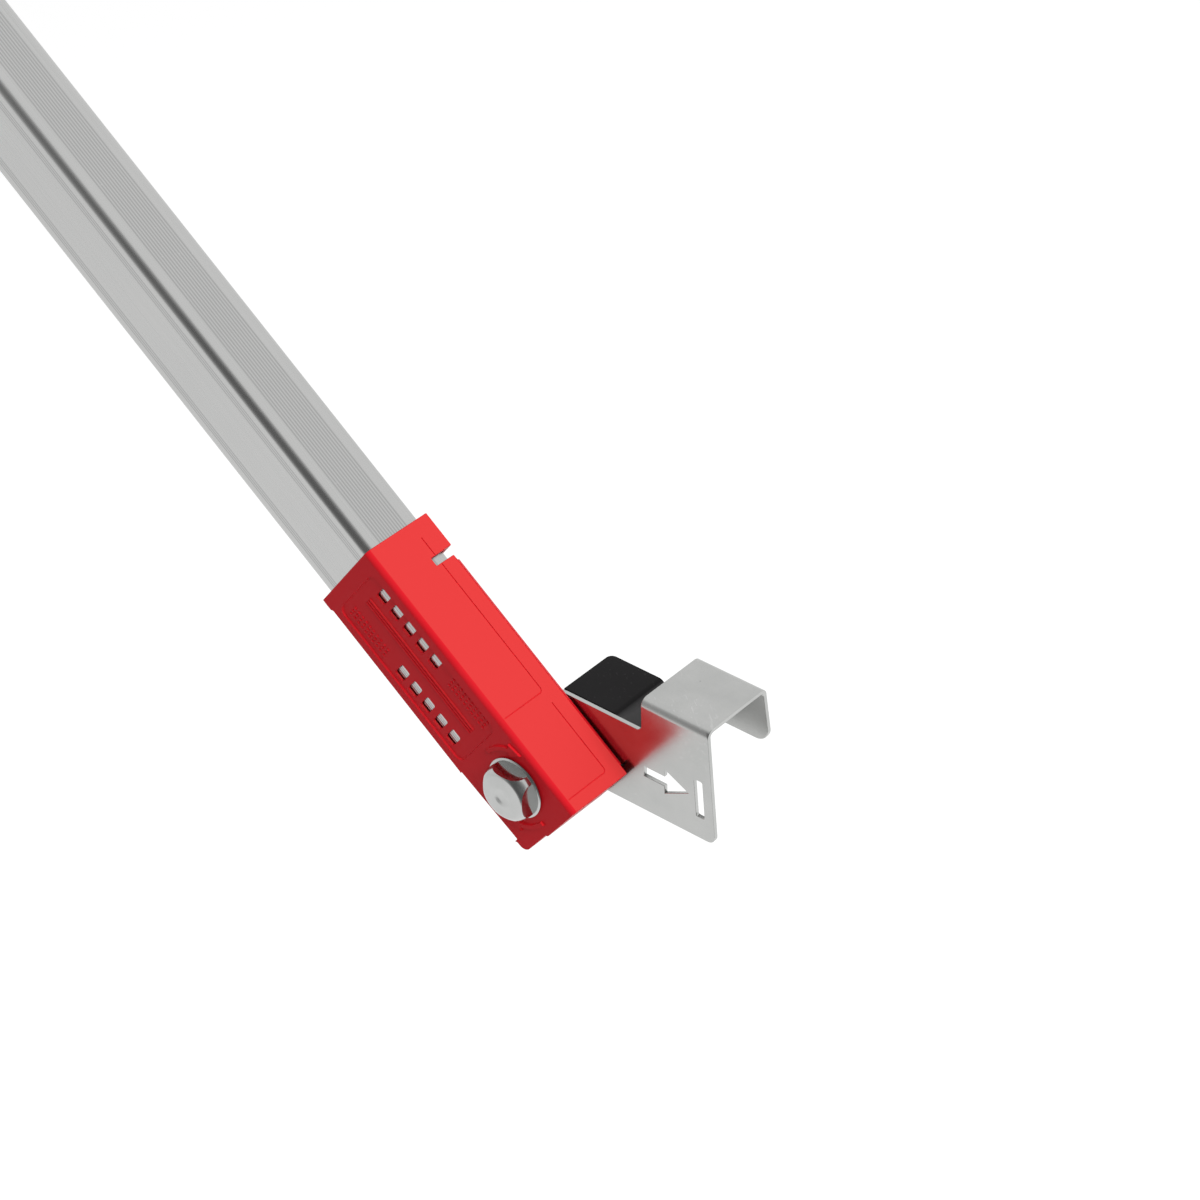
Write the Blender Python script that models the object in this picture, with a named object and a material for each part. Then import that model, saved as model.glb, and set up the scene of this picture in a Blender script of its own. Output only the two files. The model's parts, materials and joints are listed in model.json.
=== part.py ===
"""Ladder stabilizer: a grooved aluminium strut with a pivoting sheet-steel hook at each end.

Units are metres and +Z is up. The strut rises from the lower hook towards -X, in the plane of X and Z, and
every pivot axis is parallel to Y. The origin is the middle of the lower hook's seat, the underside of its
bridge.
"""

import math

import bmesh
import bpy
from mathutils import Matrix

MM = 0.001

# Strut
STRUT_SPAN = 600.0 * MM  # between the two pivots, along the tube
STRUT_SLOPE = math.radians(37.4)  # at rest, above the level
PIVOT_OFFSET = 2.0 * MM  # of a pivot from the tube's middle, towards its sleeve's scored side

# Clearances
SEAT_GAP = 0.3 * MM  # between faces that rest on each other
PIVOT_PLAY = 0.3 * MM  # round a bolt or a bush

# Tube: width is measured in the plane in which the strut turns, depth along the pivot axis
TUBE_WIDTH = 31.6 * MM
TUBE_DEPTH = 24.6 * MM
TUBE_WALL = 1.5 * MM
TUBE_CORNER = 3.0 * MM
TUBE_PAST_PIVOT = 15.4 * MM
GROOVE_WIDTH = 0.5 * MM
GROOVE_DEPTH = 0.25 * MM
EDGE_GROOVE_PITCH = 1.0 * MM
EDGE_GROOVE_INSET = 4.9 * MM  # from the tube's edge to the first groove
EDGE_GROOVE_COUNT = 3
BAND_GROOVE_PITCH = 1.11 * MM
BAND_GROOVE_COUNT = 12

# Sleeve
SLEEVE_LENGTH = 105.8 * MM
SLEEVE_PAST_PIVOT = 18.6 * MM
SLEEVE_FRONT_WALL = 1.3 * MM
SLEEVE_SIDE_WALL = 1.55 * MM
SLEEVE_EDGE_ROUND = 0.8 * MM
SLEEVE_BACK_RIM = 0.2 * MM  # how far the open edges stand past the tube
COLLAR_LENGTH = 13.2 * MM
COLLAR_BACK_WALL = 1.6 * MM
COLLAR_LIP_LENGTH = 5.0 * MM
COLLAR_LIP_HEIGHT = 0.8 * MM
NOTCH_LENGTH = 3.0 * MM
NOTCH_DEPTH = 8.0 * MM  # from the sleeve's open edge
RELIEF_START = 15.3 * MM  # from the pivot, towards the mouth
RELIEF_END = 12.9 * MM  # from the pivot, towards the end
RELIEF_SHALLOW = 0.7 * MM  # width of the lower front edge's chamfer where it starts
RELIEF_DEEP = 2.0 * MM  # and where it ends
END_LIP_HEIGHT = 1.2 * MM  # how far the end stands out past the chamfer
END_CORNER = 3.0 * MM
END_STEP = 0.7 * MM
END_STEP_BELOW = 2.0 * MM  # from the sleeve's middle
PANEL_DEPTH = 0.5 * MM
PANEL_FROM_MOUTH = 6.0 * MM
PANEL_FROM_PIVOT = 17.6 * MM
PANEL_TOP_MARGIN = 5.2 * MM
PANEL_BOTTOM_MARGIN = 3.4 * MM
RIB_COUNT = 3
RIB_WIDTH = 0.7 * MM
RIB_PITCH = 1.3 * MM
RIB_OFFSET = 1.2 * MM  # of the middle rib from the sleeve's middle
RIB_END_MARGIN = 5.0 * MM  # from the panel's ends
WINDOW_COUNT = 5
WINDOW_WIDTH = 4.0 * MM
WINDOW_HEIGHT = 5.6 * MM
WINDOW_PITCH = 6.6 * MM
WINDOW_OFFSET = 9.2 * MM  # of each row from the sleeve's middle
WINDOW_ROW_SHIFT = 10.8 * MM  # of each row along the panel, one each way
SCORE_WIDTH = 0.35 * MM
SCORE_DEPTH = 0.35 * MM
SCORE_FROM_BACK = 6.0 * MM
LONG_SCORE_START = 81.3 * MM  # scored lines, from the pivot towards the mouth
LONG_SCORE_END = 18.6 * MM
SHORT_SCORE_START = 14.0 * MM
SHORT_SCORE_END = -13.9 * MM

# Pivot bolt, nut and what they clamp
BOLT_DIAMETER = 10.0 * MM
BOLT_FLANGE_DIAMETER = 22.0 * MM
BOLT_FLANGE_RIM = 0.6 * MM
BOLT_FLANGE_RISE = 0.2 * MM
HEAD_DIAMETER = 20.4 * MM
HEAD_ACROSS_FLATS = 16.4 * MM  # four flats
HEAD_CORNER_HEIGHT = 1.5 * MM
HEAD_DOME_HEIGHT = 4.4 * MM
HEAD_TOP_DIAMETER = 14.4 * MM
HEAD_DIMPLE_DIAMETER = 6.0 * MM
HEAD_DIMPLE_DEPTH = 0.3 * MM
BOLT_PAST_NUT = 3.0 * MM
BOLT_POINT_CHAMFER = 1.0 * MM
SPACER_WALL = 2.6 * MM
THRUST_WASHER_MARGIN = 2.6 * MM  # from the washer's rim to the tube's nearer edge
THRUST_WASHER_THICKNESS = 1.5 * MM
PIVOT_BUSH_WALL = 1.4 * MM
NUT_WASHER_DIAMETER = 16.4 * MM
NUT_WASHER_THICKNESS = 2.0 * MM
NUT_ACROSS_FLATS = 17.0 * MM
NUT_HEX_HEIGHT = 7.4 * MM
NUT_COLLAR_HEIGHT = 3.0 * MM
NUT_COLLAR_WALL = 0.9 * MM
NUT_LIP_THICKNESS = 0.6 * MM
INSERT_WALL = 1.1 * MM
INSERT_LIP = 0.5 * MM  # how far the nut's lip is turned in over the insert

# Hook bracket, measured from the pivot: reach towards the hook, height upwards
SHEET = 1.5 * MM
BEND_INNER = 1.5 * MM
PLATE_BEHIND = 14.0 * MM
PLATE_BELOW = 12.3 * MM
PLATE_ABOVE = 19.3 * MM
PLATE_FLARE = 2.7 * MM  # how much further the plate reaches at its foot than at the bridge
PLATE_LOW_CORNER = 7.0 * MM
PLATE_TOP_CORNER = 11.5 * MM
PLATE_FRONT_CORNER = 3.0 * MM
STEP_FILLET = 1.2 * MM
BRIDGE_START = 28.7 * MM
BRIDGE_LENGTH = 26.9 * MM
BRIDGE_HEIGHT = 31.8 * MM
HOOK_CLEAR_DEPTH = 26.8 * MM
FLANGE_DROP = 21.0 * MM
FLANGE_FLARE = 1.8 * MM
FLANGE_CORNER = 5.0 * MM
ARROW_SHAFT_LENGTH = 8.4 * MM
ARROW_HEAD_LENGTH = 9.6 * MM
ARROW_TO_SLOT = 2.7 * MM
ARROW_HEIGHT = 3.6 * MM
ARROW_SHAFT_HALF = 1.9 * MM
ARROW_HEAD_HALF = 4.8 * MM
SLOT_WIDTH = 3.3 * MM
SLOT_TOP = 10.6 * MM
SLOT_BOTTOM = -3.8 * MM
SLOT_FROM_EDGE = 3.6 * MM

# Nut shroud
WEB_THICKNESS = 2.5 * MM
WEB_MARGIN = 0.6 * MM  # inside the plate's edges
WEB_SHOULDER = 13.0 * MM  # height above the pivot where the web's edge slants back
SHROUD_DEPTH = 23.6 * MM
SHROUD_WALL = 2.0 * MM
SHELF_BEHIND = 5.0 * MM
SHROUD_REACH = 18.3 * MM
SHROUD_EDGE_ROUND = 3.0 * MM
SHELF_CORNER = 2.5 * MM
CHEEK_BELOW = 10.2 * MM
CHEEK_FOOT_DEPTH = 7.0 * MM
POCKET_WALL = 1.0 * MM
POCKET_HEIGHT = 6.0 * MM

# Facets
ROUND_STEPS = 32
CORNER_STEPS = 4
BEND_STEPS = 6
DOME_STEPS = 8
SMOOTH_ANGLE = math.radians(30.0)
OVERCUT = 2.0 * MM  # how far a cutter runs past the faces it cuts

# Depths along the pivot axis, from the sleeve's front face
TUBE_FRONT = SLEEVE_FRONT_WALL + SEAT_GAP
TUBE_BACK = TUBE_FRONT + TUBE_DEPTH
SLEEVE_BACK = TUBE_BACK + SLEEVE_BACK_RIM
COLLAR_BACK = TUBE_BACK + SEAT_GAP + COLLAR_BACK_WALL
THRUST_FRONT = TUBE_BACK + SEAT_GAP
PLATE_FRONT = THRUST_FRONT + THRUST_WASHER_THICKNESS + SEAT_GAP
PLATE_BACK = PLATE_FRONT + SHEET
WEB_FRONT = PLATE_BACK + SEAT_GAP
WEB_BACK = WEB_FRONT + WEB_THICKNESS
NUT_WASHER_FRONT = WEB_BACK + SEAT_GAP
NUT_FRONT = NUT_WASHER_FRONT + NUT_WASHER_THICKNESS + SEAT_GAP
NUT_COLLAR_FRONT = NUT_FRONT + NUT_HEX_HEIGHT
NUT_BACK = NUT_COLLAR_FRONT + NUT_COLLAR_HEIGHT
BOLT_END = NUT_BACK + BOLT_PAST_NUT
FLANGE_BACK = PLATE_BACK + HOOK_CLEAR_DEPTH + SHEET
SHROUD_BACK = WEB_FRONT + SHROUD_DEPTH

# Radii and halves that pieces share
BOLT_RADIUS = BOLT_DIAMETER / 2
BORE_RADIUS = BOLT_RADIUS + PIVOT_PLAY
PIVOT_BUSH_RADIUS = BORE_RADIUS + PIVOT_BUSH_WALL
BUSH_HOLE_RADIUS = PIVOT_BUSH_RADIUS + PIVOT_PLAY
BEND_OUTER = BEND_INNER + SHEET
BEND_HEIGHT = BRIDGE_HEIGHT - BEND_OUTER
BRIDGE_END = BRIDGE_START + BRIDGE_LENGTH
PLATE_LEAN = PLATE_FLARE / (BEND_HEIGHT + PLATE_BELOW)
CAVITY_HALF = TUBE_WIDTH / 2 + SEAT_GAP
SLEEVE_HALF = CAVITY_HALF + SLEEVE_SIDE_WALL
SLEEVE_MOUTH = SLEEVE_PAST_PIVOT - SLEEVE_LENGTH
COLLAR_END = SLEEVE_MOUTH + COLLAR_LENGTH

# The lower pivot, seen from the middle of the lower hook's seat
SEAT_REACH = (BRIDGE_START + BRIDGE_END) / 2
SEAT_DEPTH = PLATE_BACK + HOOK_CLEAR_DEPTH / 2
SEAT_HEIGHT = BRIDGE_HEIGHT - SHEET
LOWER_PIVOT = (-SEAT_REACH, -SEAT_DEPTH, -SEAT_HEIGHT)
UPPER_PIVOT = (
    LOWER_PIVOT[0] - STRUT_SPAN * math.cos(STRUT_SLOPE) - 2 * PIVOT_OFFSET * math.sin(STRUT_SLOPE),
    LOWER_PIVOT[1],
    LOWER_PIVOT[2] + STRUT_SPAN * math.sin(STRUT_SLOPE) - 2 * PIVOT_OFFSET * math.cos(STRUT_SLOPE),
)


def arc(center_x, center_z, radius, start_deg, end_deg, steps=CORNER_STEPS):
    """Points of an arc in the plane of X and Z, ends included."""
    points = []
    for step in range(steps + 1):
        angle = math.radians(start_deg + (end_deg - start_deg) * step / steps)
        points.append((center_x + radius * math.cos(angle), center_z + radius * math.sin(angle)))
    return points


def add_box(bm, low, high):
    """A closed box between two corners."""
    size = [high[axis] - low[axis] for axis in range(3)]
    middle = [(high[axis] + low[axis]) / 2 for axis in range(3)]
    place = Matrix.Translation(middle) @ Matrix.Diagonal((*size, 1.0))
    bmesh.ops.create_cube(bm, size=1.0, matrix=place)


def add_loft(bm, near, far):
    """Two outlines of equal length, as lists of points, joined and closed at both ends."""
    near = [bm.verts.new(point) for point in near]
    far = [bm.verts.new(point) for point in far]
    bm.faces.new(near)
    bm.faces.new(far[::-1])
    for here in range(len(near)):
        after = (here + 1) % len(near)
        bm.faces.new((near[here], far[here], far[after], near[after]))


def add_prism(bm, outline, front, back):
    """An outline in X and Z, pulled along Y from front to back."""
    add_loft(bm, [(x, front, z) for x, z in outline], [(x, back, z) for x, z in outline])


def add_cross_prism(bm, outline, start, end):
    """An outline in depth and Z, pulled along X from start to end."""
    add_loft(bm, [(start, depth, z) for depth, z in outline], [(end, depth, z) for depth, z in outline])


def add_turned(bm, profile, steps=ROUND_STEPS):
    """A closed profile of (radius, depth) turned about the Y axis; a radius of 0 lies on the axis."""
    rings = []
    for radius, depth in profile:
        if radius == 0.0:
            rings.append([bm.verts.new((0.0, depth, 0.0))])
            continue
        ring = []
        for step in range(steps):
            angle = 2 * math.pi * step / steps
            ring.append(bm.verts.new((radius * math.cos(angle), depth, radius * math.sin(angle))))
        rings.append(ring)
    for here in range(len(rings)):
        ring = rings[here]
        other = rings[(here + 1) % len(rings)]
        if len(ring) == 1 and len(other) == 1:
            continue
        for step in range(steps):
            after = (step + 1) % steps
            corners = [ring[step % len(ring)], ring[after % len(ring)]]
            corners += [other[after % len(other)], other[step % len(other)]]
            bm.faces.new(list(dict.fromkeys(corners)))


def polygon(sides, across_flats):
    """Corners of a regular polygon in X and Z, with a flat at the bottom."""
    corner_radius = across_flats / 2 / math.cos(math.pi / sides)
    first = 180.0 / sides - 90.0
    return arc(0.0, 0.0, corner_radius, first, first + 360.0 - 360.0 / sides, sides - 1)


def add_flats_ring(bm, sides, across_flats, outer_across_flats, front, back):
    """A prism with flat sides and a hole to match."""
    hole = polygon(sides, across_flats)
    loops = []
    for outline in (polygon(sides, outer_across_flats), hole):
        for depth in (front, back):
            loops.append([bm.verts.new((x, depth, z)) for x, z in outline])
    outer_near, outer_far, hole_near, hole_far = loops
    walls = ((outer_near, outer_far), (outer_far, hole_far), (hole_far, hole_near), (hole_near, outer_near))
    for first, second in walls:
        for here in range(len(hole)):
            after = (here + 1) % len(hole)
            bm.faces.new((first[here], second[here], second[after], first[after]))


def material(name, color, roughness, metallic):
    """A Principled material for one sub-part."""
    finish = bpy.data.materials.new(name)
    finish.use_nodes = True
    shader = finish.node_tree.nodes["Principled BSDF"]
    shader.inputs["Base Color"].default_value = (*color, 1.0)
    shader.inputs["Roughness"].default_value = roughness
    shader.inputs["Metallic"].default_value = metallic
    return finish


RED_PLASTIC = ((0.62, 0.012, 0.018), 0.42, 0.0)
BLACK_PLASTIC = ((0.012, 0.011, 0.012), 0.45, 0.0)
WHITE_PLASTIC = ((0.78, 0.77, 0.72), 0.5, 0.0)
ALUMINIUM = ((0.66, 0.66, 0.65), 0.38, 1.0)
ZINC_STEEL = ((0.56, 0.57, 0.57), 0.3, 1.0)


def make_object(name, bm, finish, parent):
    """A named sub-part from a closed mesh, with its faces turned outwards."""
    bmesh.ops.recalc_face_normals(bm, faces=bm.faces)
    mesh = bpy.data.meshes.new(name)
    bm.to_mesh(mesh)
    bm.free()
    mesh.shade_smooth()
    mesh.set_sharp_from_angle(angle=SMOOTH_ANGLE)
    piece = bpy.data.objects.new(name, mesh)
    bpy.context.collection.objects.link(piece)
    piece.parent = parent
    if finish:
        mesh.materials.append(material(name, *finish))
    return piece


def shape(piece, bm, operation="DIFFERENCE"):
    """Cuts a mesh out of a piece, or joins it to the piece, with a hidden tool object."""
    tool = make_object(f"{piece.name}_tool_{len(piece.modifiers)}", bm, None, piece.parent)
    tool.location = piece.location
    tool.hide_render = True
    tool.display_type = "WIRE"
    cut = piece.modifiers.new(tool.name, "BOOLEAN")
    cut.object = tool
    cut.operation = operation
    cut.solver = "EXACT"


def pivot_empty(name, place, turn):
    """An empty on a pivot axis, at the sleeve's front face, turned about that axis."""
    empty = bpy.data.objects.new(name, None)
    bpy.context.collection.objects.link(empty)
    empty.location = place
    empty.rotation_euler = (0.0, turn, 0.0)
    return empty


def groove_points(half_length, centers):
    """Points along one side of the tube, from -half_length, with a V groove at each centre."""
    points = []
    for center in centers:
        points.append((center - GROOVE_WIDTH / 2, 0.0))
        points.append((center, GROOVE_DEPTH))
        points.append((center + GROOVE_WIDTH / 2, 0.0))
    return [(along, sunk) for along, sunk in points if abs(along) < half_length]


def tube_outline():
    """The tube's outer section in depth and width: edge grooves in the broad sides, a band in the others."""
    half_width = TUBE_WIDTH / 2
    half_depth = TUBE_DEPTH / 2
    edge = [half_width - EDGE_GROOVE_INSET - EDGE_GROOVE_PITCH * step for step in range(EDGE_GROOVE_COUNT)]
    broad = sorted([-place for place in edge] + edge)
    middle = (BAND_GROOVE_COUNT - 1) / 2
    band = [BAND_GROOVE_PITCH * (step - middle) for step in range(BAND_GROOVE_COUNT)]
    flat_width = half_width - TUBE_CORNER
    flat_depth = half_depth - TUBE_CORNER
    outline = arc(flat_depth, -flat_width, TUBE_CORNER, -90, 0)
    outline += [(half_depth - sunk, along) for along, sunk in groove_points(flat_width, broad)]
    outline += arc(flat_depth, flat_width, TUBE_CORNER, 0, 90)
    outline += [(-along, half_width - sunk) for along, sunk in groove_points(flat_depth, band)]
    outline += arc(-flat_depth, flat_width, TUBE_CORNER, 90, 180)
    outline += [(sunk - half_depth, -along) for along, sunk in groove_points(flat_width, broad)]
    outline += arc(-flat_depth, -flat_width, TUBE_CORNER, 180, 270)
    outline += [(along, sunk - half_width) for along, sunk in groove_points(flat_depth, band)]
    return outline


def tube_bore():
    """The tube's inner section, with the wall left all round."""
    corner = max(TUBE_CORNER - TUBE_WALL, SEAT_GAP)
    flat_depth = TUBE_DEPTH / 2 - TUBE_WALL - corner
    flat_width = TUBE_WIDTH / 2 - TUBE_WALL - corner
    bore = arc(flat_depth, -flat_width, corner, -90, 0)
    bore += arc(flat_depth, flat_width, corner, 0, 90)
    bore += arc(-flat_depth, flat_width, corner, 90, 180)
    bore += arc(-flat_depth, -flat_width, corner, 180, 270)
    return bore


def bolt_hole(bm, radius, front, back, along=0.0, above=0.0):
    """A round cutter parallel to the pivot axis, set off along X and Z."""
    start = len(bm.verts)
    add_turned(bm, [(0.0, front), (radius, front), (radius, back), (0.0, back)])
    bm.verts.ensure_lookup_table()
    bmesh.ops.translate(bm, verts=bm.verts[start:], vec=(along, 0.0, above))


def arm_tube(arm):
    """The extruded tube, drilled for both bolts; X runs from the upper end to the lower."""
    middle = TUBE_FRONT + TUBE_DEPTH / 2
    low_end = TUBE_PAST_PIVOT
    high_end = -STRUT_SPAN - TUBE_PAST_PIVOT
    bm = bmesh.new()
    edges = []
    rings = []
    for section in (tube_outline(), tube_bore()):
        ring = [bm.verts.new((low_end, middle + depth, width)) for depth, width in section]
        rings.append(ring)
        edges += [bm.edges.new((ring[here - 1], ring[here])) for here in range(len(ring))]
    bmesh.ops.triangle_fill(bm, edges=edges, use_beauty=True, normal=(1.0, 0.0, 0.0))
    pulled = bmesh.ops.extrude_face_region(bm, geom=bm.faces[:], use_keep_orig=True)
    moved = [item for item in pulled["geom"] if isinstance(item, bmesh.types.BMVert)]
    bmesh.ops.translate(bm, verts=moved, vec=(high_end - low_end, 0.0, 0.0))
    tube = make_object("arm_tube", bm, ALUMINIUM, arm)
    tube.location.z = -PIVOT_OFFSET
    holes = bmesh.new()
    for along, above in ((0.0, PIVOT_OFFSET), (-STRUT_SPAN, -PIVOT_OFFSET)):
        bolt_hole(holes, BORE_RADIUS, TUBE_FRONT - OVERCUT, TUBE_BACK + OVERCUT, along, above)
    shape(tube, holes)


def sleeve_outline():
    """The sleeve's side view, with a lip on the lower side of its collar and a stepped, rounded end."""
    low = -SLEEVE_HALF
    end = SLEEVE_PAST_PIVOT
    drop = RELIEF_DEEP - END_LIP_HEIGHT
    outline = [(SLEEVE_MOUTH, SLEEVE_HALF), (end, SLEEVE_HALF)]
    outline += [(end, -END_STEP_BELOW + END_STEP), (end - END_STEP, -END_STEP_BELOW)]
    outline += arc(end - END_STEP - END_CORNER, low + drop + END_CORNER, END_CORNER, 0, -90)
    outline += [(RELIEF_END + drop, low + drop), (RELIEF_END, low)]
    lip_end = SLEEVE_MOUTH + COLLAR_LIP_LENGTH
    outline += [(lip_end, low), (lip_end - COLLAR_LIP_HEIGHT, low - COLLAR_LIP_HEIGHT)]
    outline += [(SLEEVE_MOUTH, low - COLLAR_LIP_HEIGHT)]
    return outline


def cavity_section():
    """The sleeve's inside in depth and Z: the tube's section with clearance, square at the open back."""
    corner = TUBE_CORNER + SEAT_GAP
    back = TUBE_BACK + SEAT_GAP
    section = [(back, -CAVITY_HALF), (back, CAVITY_HALF)]
    section += arc(SLEEVE_FRONT_WALL + corner, CAVITY_HALF - corner, corner, 90, 180)
    section += arc(SLEEVE_FRONT_WALL + corner, corner - CAVITY_HALF, corner, 180, 270)
    return section


def relief_section(along, chamfer):
    """A three-sided section of the cutter that chamfers the sleeve's lower front edge."""
    low = -SLEEVE_HALF
    reach = chamfer + OVERCUT
    section = [(-OVERCUT, low - OVERCUT), (-OVERCUT, low + reach), (reach, low - OVERCUT)]
    return [(along, depth, z) for depth, z in section]


def sleeve(end_name, arm):
    """The moulded sleeve: a channel over the tube's end, closed round it at the mouth collar."""
    bm = bmesh.new()
    add_prism(bm, sleeve_outline(), 0.0, COLLAR_BACK)
    body = make_object(f"{end_name}_sleeve", bm, RED_PLASTIC, arm)
    body.location.z = -PIVOT_OFFSET
    rounding = body.modifiers.new("edge_round", "BEVEL")
    rounding.width = SLEEVE_EDGE_ROUND / 2
    rounding.segments = 2
    rounding.limit_method = "ANGLE"
    rounding.angle_limit = math.radians(50.0)

    cavity = bmesh.new()
    add_cross_prism(cavity, cavity_section(), SLEEVE_MOUTH - OVERCUT, TUBE_PAST_PIVOT + SEAT_GAP)
    shape(body, cavity)

    relief = bmesh.new()
    start = relief_section(-RELIEF_START, RELIEF_SHALLOW)
    add_loft(relief, start, relief_section(RELIEF_END, RELIEF_DEEP))
    shape(body, relief)

    open_back = bmesh.new()
    side = SLEEVE_HALF + OVERCUT
    low = (COLLAR_END, SLEEVE_BACK, -side)
    add_box(open_back, low, (SLEEVE_PAST_PIVOT + OVERCUT, COLLAR_BACK + OVERCUT, side))
    shape(body, open_back)

    notch = bmesh.new()
    low = (COLLAR_END, SLEEVE_BACK - NOTCH_DEPTH, CAVITY_HALF - SEAT_GAP)
    add_box(notch, low, (COLLAR_END + NOTCH_LENGTH, COLLAR_BACK + OVERCUT, side))
    shape(body, notch)

    panel_start = SLEEVE_MOUTH + PANEL_FROM_MOUTH
    panel_end = -PANEL_FROM_PIVOT
    panel = bmesh.new()
    low = (panel_start, -OVERCUT, PANEL_BOTTOM_MARGIN - SLEEVE_HALF)
    add_box(panel, low, (panel_end, PANEL_DEPTH, SLEEVE_HALF - PANEL_TOP_MARGIN))
    shape(body, panel)

    ribs = bmesh.new()
    for count in range(RIB_COUNT):
        across = RIB_OFFSET + RIB_PITCH * (count - (RIB_COUNT - 1) / 2)
        low = (panel_start + RIB_END_MARGIN, SEAT_GAP / 2, across - RIB_WIDTH / 2)
        floor = PANEL_DEPTH + SLEEVE_FRONT_WALL / 4
        add_box(ribs, low, (panel_end - RIB_END_MARGIN, floor, across + RIB_WIDTH / 2))
    shape(body, ribs, "UNION")

    openings = bmesh.new()
    panel_middle = (panel_start + panel_end) / 2
    for row in (-1, 1):
        across = row * WINDOW_OFFSET
        for count in range(WINDOW_COUNT):
            along = panel_middle - row * WINDOW_ROW_SHIFT + WINDOW_PITCH * (count - (WINDOW_COUNT - 1) / 2)
            low = (along - WINDOW_WIDTH / 2, -OVERCUT, across - WINDOW_HEIGHT / 2)
            high = (along + WINDOW_WIDTH / 2, SLEEVE_FRONT_WALL + OVERCUT, across + WINDOW_HEIGHT / 2)
            add_box(openings, low, high)
    bolt_hole(openings, BORE_RADIUS, -OVERCUT, SLEEVE_FRONT_WALL + OVERCUT, above=PIVOT_OFFSET)
    shape(body, openings)

    scores = bmesh.new()
    for start, end in ((LONG_SCORE_START, LONG_SCORE_END), (SHORT_SCORE_START, SHORT_SCORE_END)):
        score_line(scores, start, end)
    shape(body, scores)


def score_line(bm, start, end):
    """A shallow L-shaped groove in the upper side: along the strut, then across to the front edge."""
    floor = SLEEVE_HALF - SCORE_DEPTH
    top = SLEEVE_HALF + OVERCUT
    back = SLEEVE_BACK - SCORE_FROM_BACK
    front = SLEEVE_EDGE_ROUND
    outline = [
        (-start, back - SCORE_WIDTH),
        (-end - SCORE_WIDTH, back - SCORE_WIDTH),
        (-end - SCORE_WIDTH, front),
        (-end, front),
        (-end, back),
        (-start, back),
    ]
    low = [bm.verts.new((x, depth, floor)) for x, depth in outline]
    high = [bm.verts.new((x, depth, top)) for x, depth in outline]
    bm.faces.new(low[::-1])
    bm.faces.new(high)
    for here in range(len(outline)):
        after = (here + 1) % len(outline)
        bm.faces.new((low[here], low[after], high[after], high[here]))


def pivot_bolt(end_name, hook):
    """The flanged bolt: a turned blank with a domed head, and four flats cut on it for a spanner."""
    corner_radius = HEAD_DIAMETER / 2
    under = -SEAT_GAP
    rim = under - BOLT_FLANGE_RIM
    root = rim - BOLT_FLANGE_RISE
    shoulder = root - HEAD_CORNER_HEIGHT
    top = shoulder - HEAD_DOME_HEIGHT
    flat_top = HEAD_TOP_DIAMETER / 2
    dimple = HEAD_DIMPLE_DIAMETER / 2
    profile = [(0.0, BOLT_END), (BOLT_RADIUS - BOLT_POINT_CHAMFER, BOLT_END)]
    profile += [(BOLT_RADIUS, BOLT_END - BOLT_POINT_CHAMFER), (BOLT_RADIUS, under)]
    profile += [(BOLT_FLANGE_DIAMETER / 2, under), (BOLT_FLANGE_DIAMETER / 2, rim)]
    profile += [(corner_radius, root)]
    for step in range(DOME_STEPS + 1):
        angle = math.pi / 2 * step / DOME_STEPS
        radius = flat_top + (corner_radius - flat_top) * math.cos(angle)
        profile.append((radius, shoulder - HEAD_DOME_HEIGHT * math.sin(angle)))
    profile += [(dimple, top), (dimple - HEAD_DIMPLE_DEPTH, top + HEAD_DIMPLE_DEPTH)]
    profile += [(0.0, top + HEAD_DIMPLE_DEPTH)]
    bm = bmesh.new()
    add_turned(bm, profile)
    bolt = make_object(f"{end_name}_pivot_bolt", bm, ZINC_STEEL, hook)
    flats = bmesh.new()
    add_flats_ring(flats, 4, HEAD_ACROSS_FLATS, 2 * BOLT_FLANGE_DIAMETER, top - OVERCUT, root)
    shape(bolt, flats)


def ring(name, inner, outer, front, back, finish, parent):
    """A plain turned ring on the pivot axis."""
    bm = bmesh.new()
    add_turned(bm, [(inner, front), (outer, front), (outer, back), (inner, back)])
    return make_object(name, bm, finish, parent)


def lock_nut(end_name, hook):
    """The self-locking nut, with the seat for its nylon insert turned out behind its lip."""
    corner_radius = NUT_ACROSS_FLATS / 2 / math.cos(math.pi / 6)
    chamfer = corner_radius - NUT_ACROSS_FLATS / 2
    seat = BORE_RADIUS + INSERT_WALL + SEAT_GAP
    collar = seat + NUT_COLLAR_WALL
    lip = NUT_BACK - NUT_LIP_THICKNESS
    profile = [(BORE_RADIUS, NUT_FRONT), (corner_radius - chamfer, NUT_FRONT)]
    profile += [(corner_radius, NUT_FRONT + chamfer / 2), (corner_radius, NUT_COLLAR_FRONT - chamfer / 2)]
    profile += [(corner_radius - chamfer, NUT_COLLAR_FRONT), (collar, NUT_COLLAR_FRONT)]
    profile += [(collar, lip), (seat, NUT_BACK), (seat - INSERT_LIP, NUT_BACK)]
    profile += [(seat - INSERT_LIP, lip), (seat, lip), (seat, NUT_COLLAR_FRONT)]
    profile += [(BORE_RADIUS, NUT_COLLAR_FRONT)]
    bm = bmesh.new()
    add_turned(bm, profile)
    nut = make_object(f"{end_name}_lock_nut", bm, ZINC_STEEL, hook)
    flats = bmesh.new()
    add_flats_ring(flats, 6, NUT_ACROSS_FLATS, 2 * NUT_ACROSS_FLATS, NUT_FRONT - OVERCUT, NUT_BACK + OVERCUT)
    shape(nut, flats)
    front = NUT_COLLAR_FRONT + SEAT_GAP
    insert_name = f"{end_name}_nut_insert"
    ring(insert_name, BORE_RADIUS, BORE_RADIUS + INSERT_WALL, front, lip - SEAT_GAP, WHITE_PLASTIC, hook)


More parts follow.
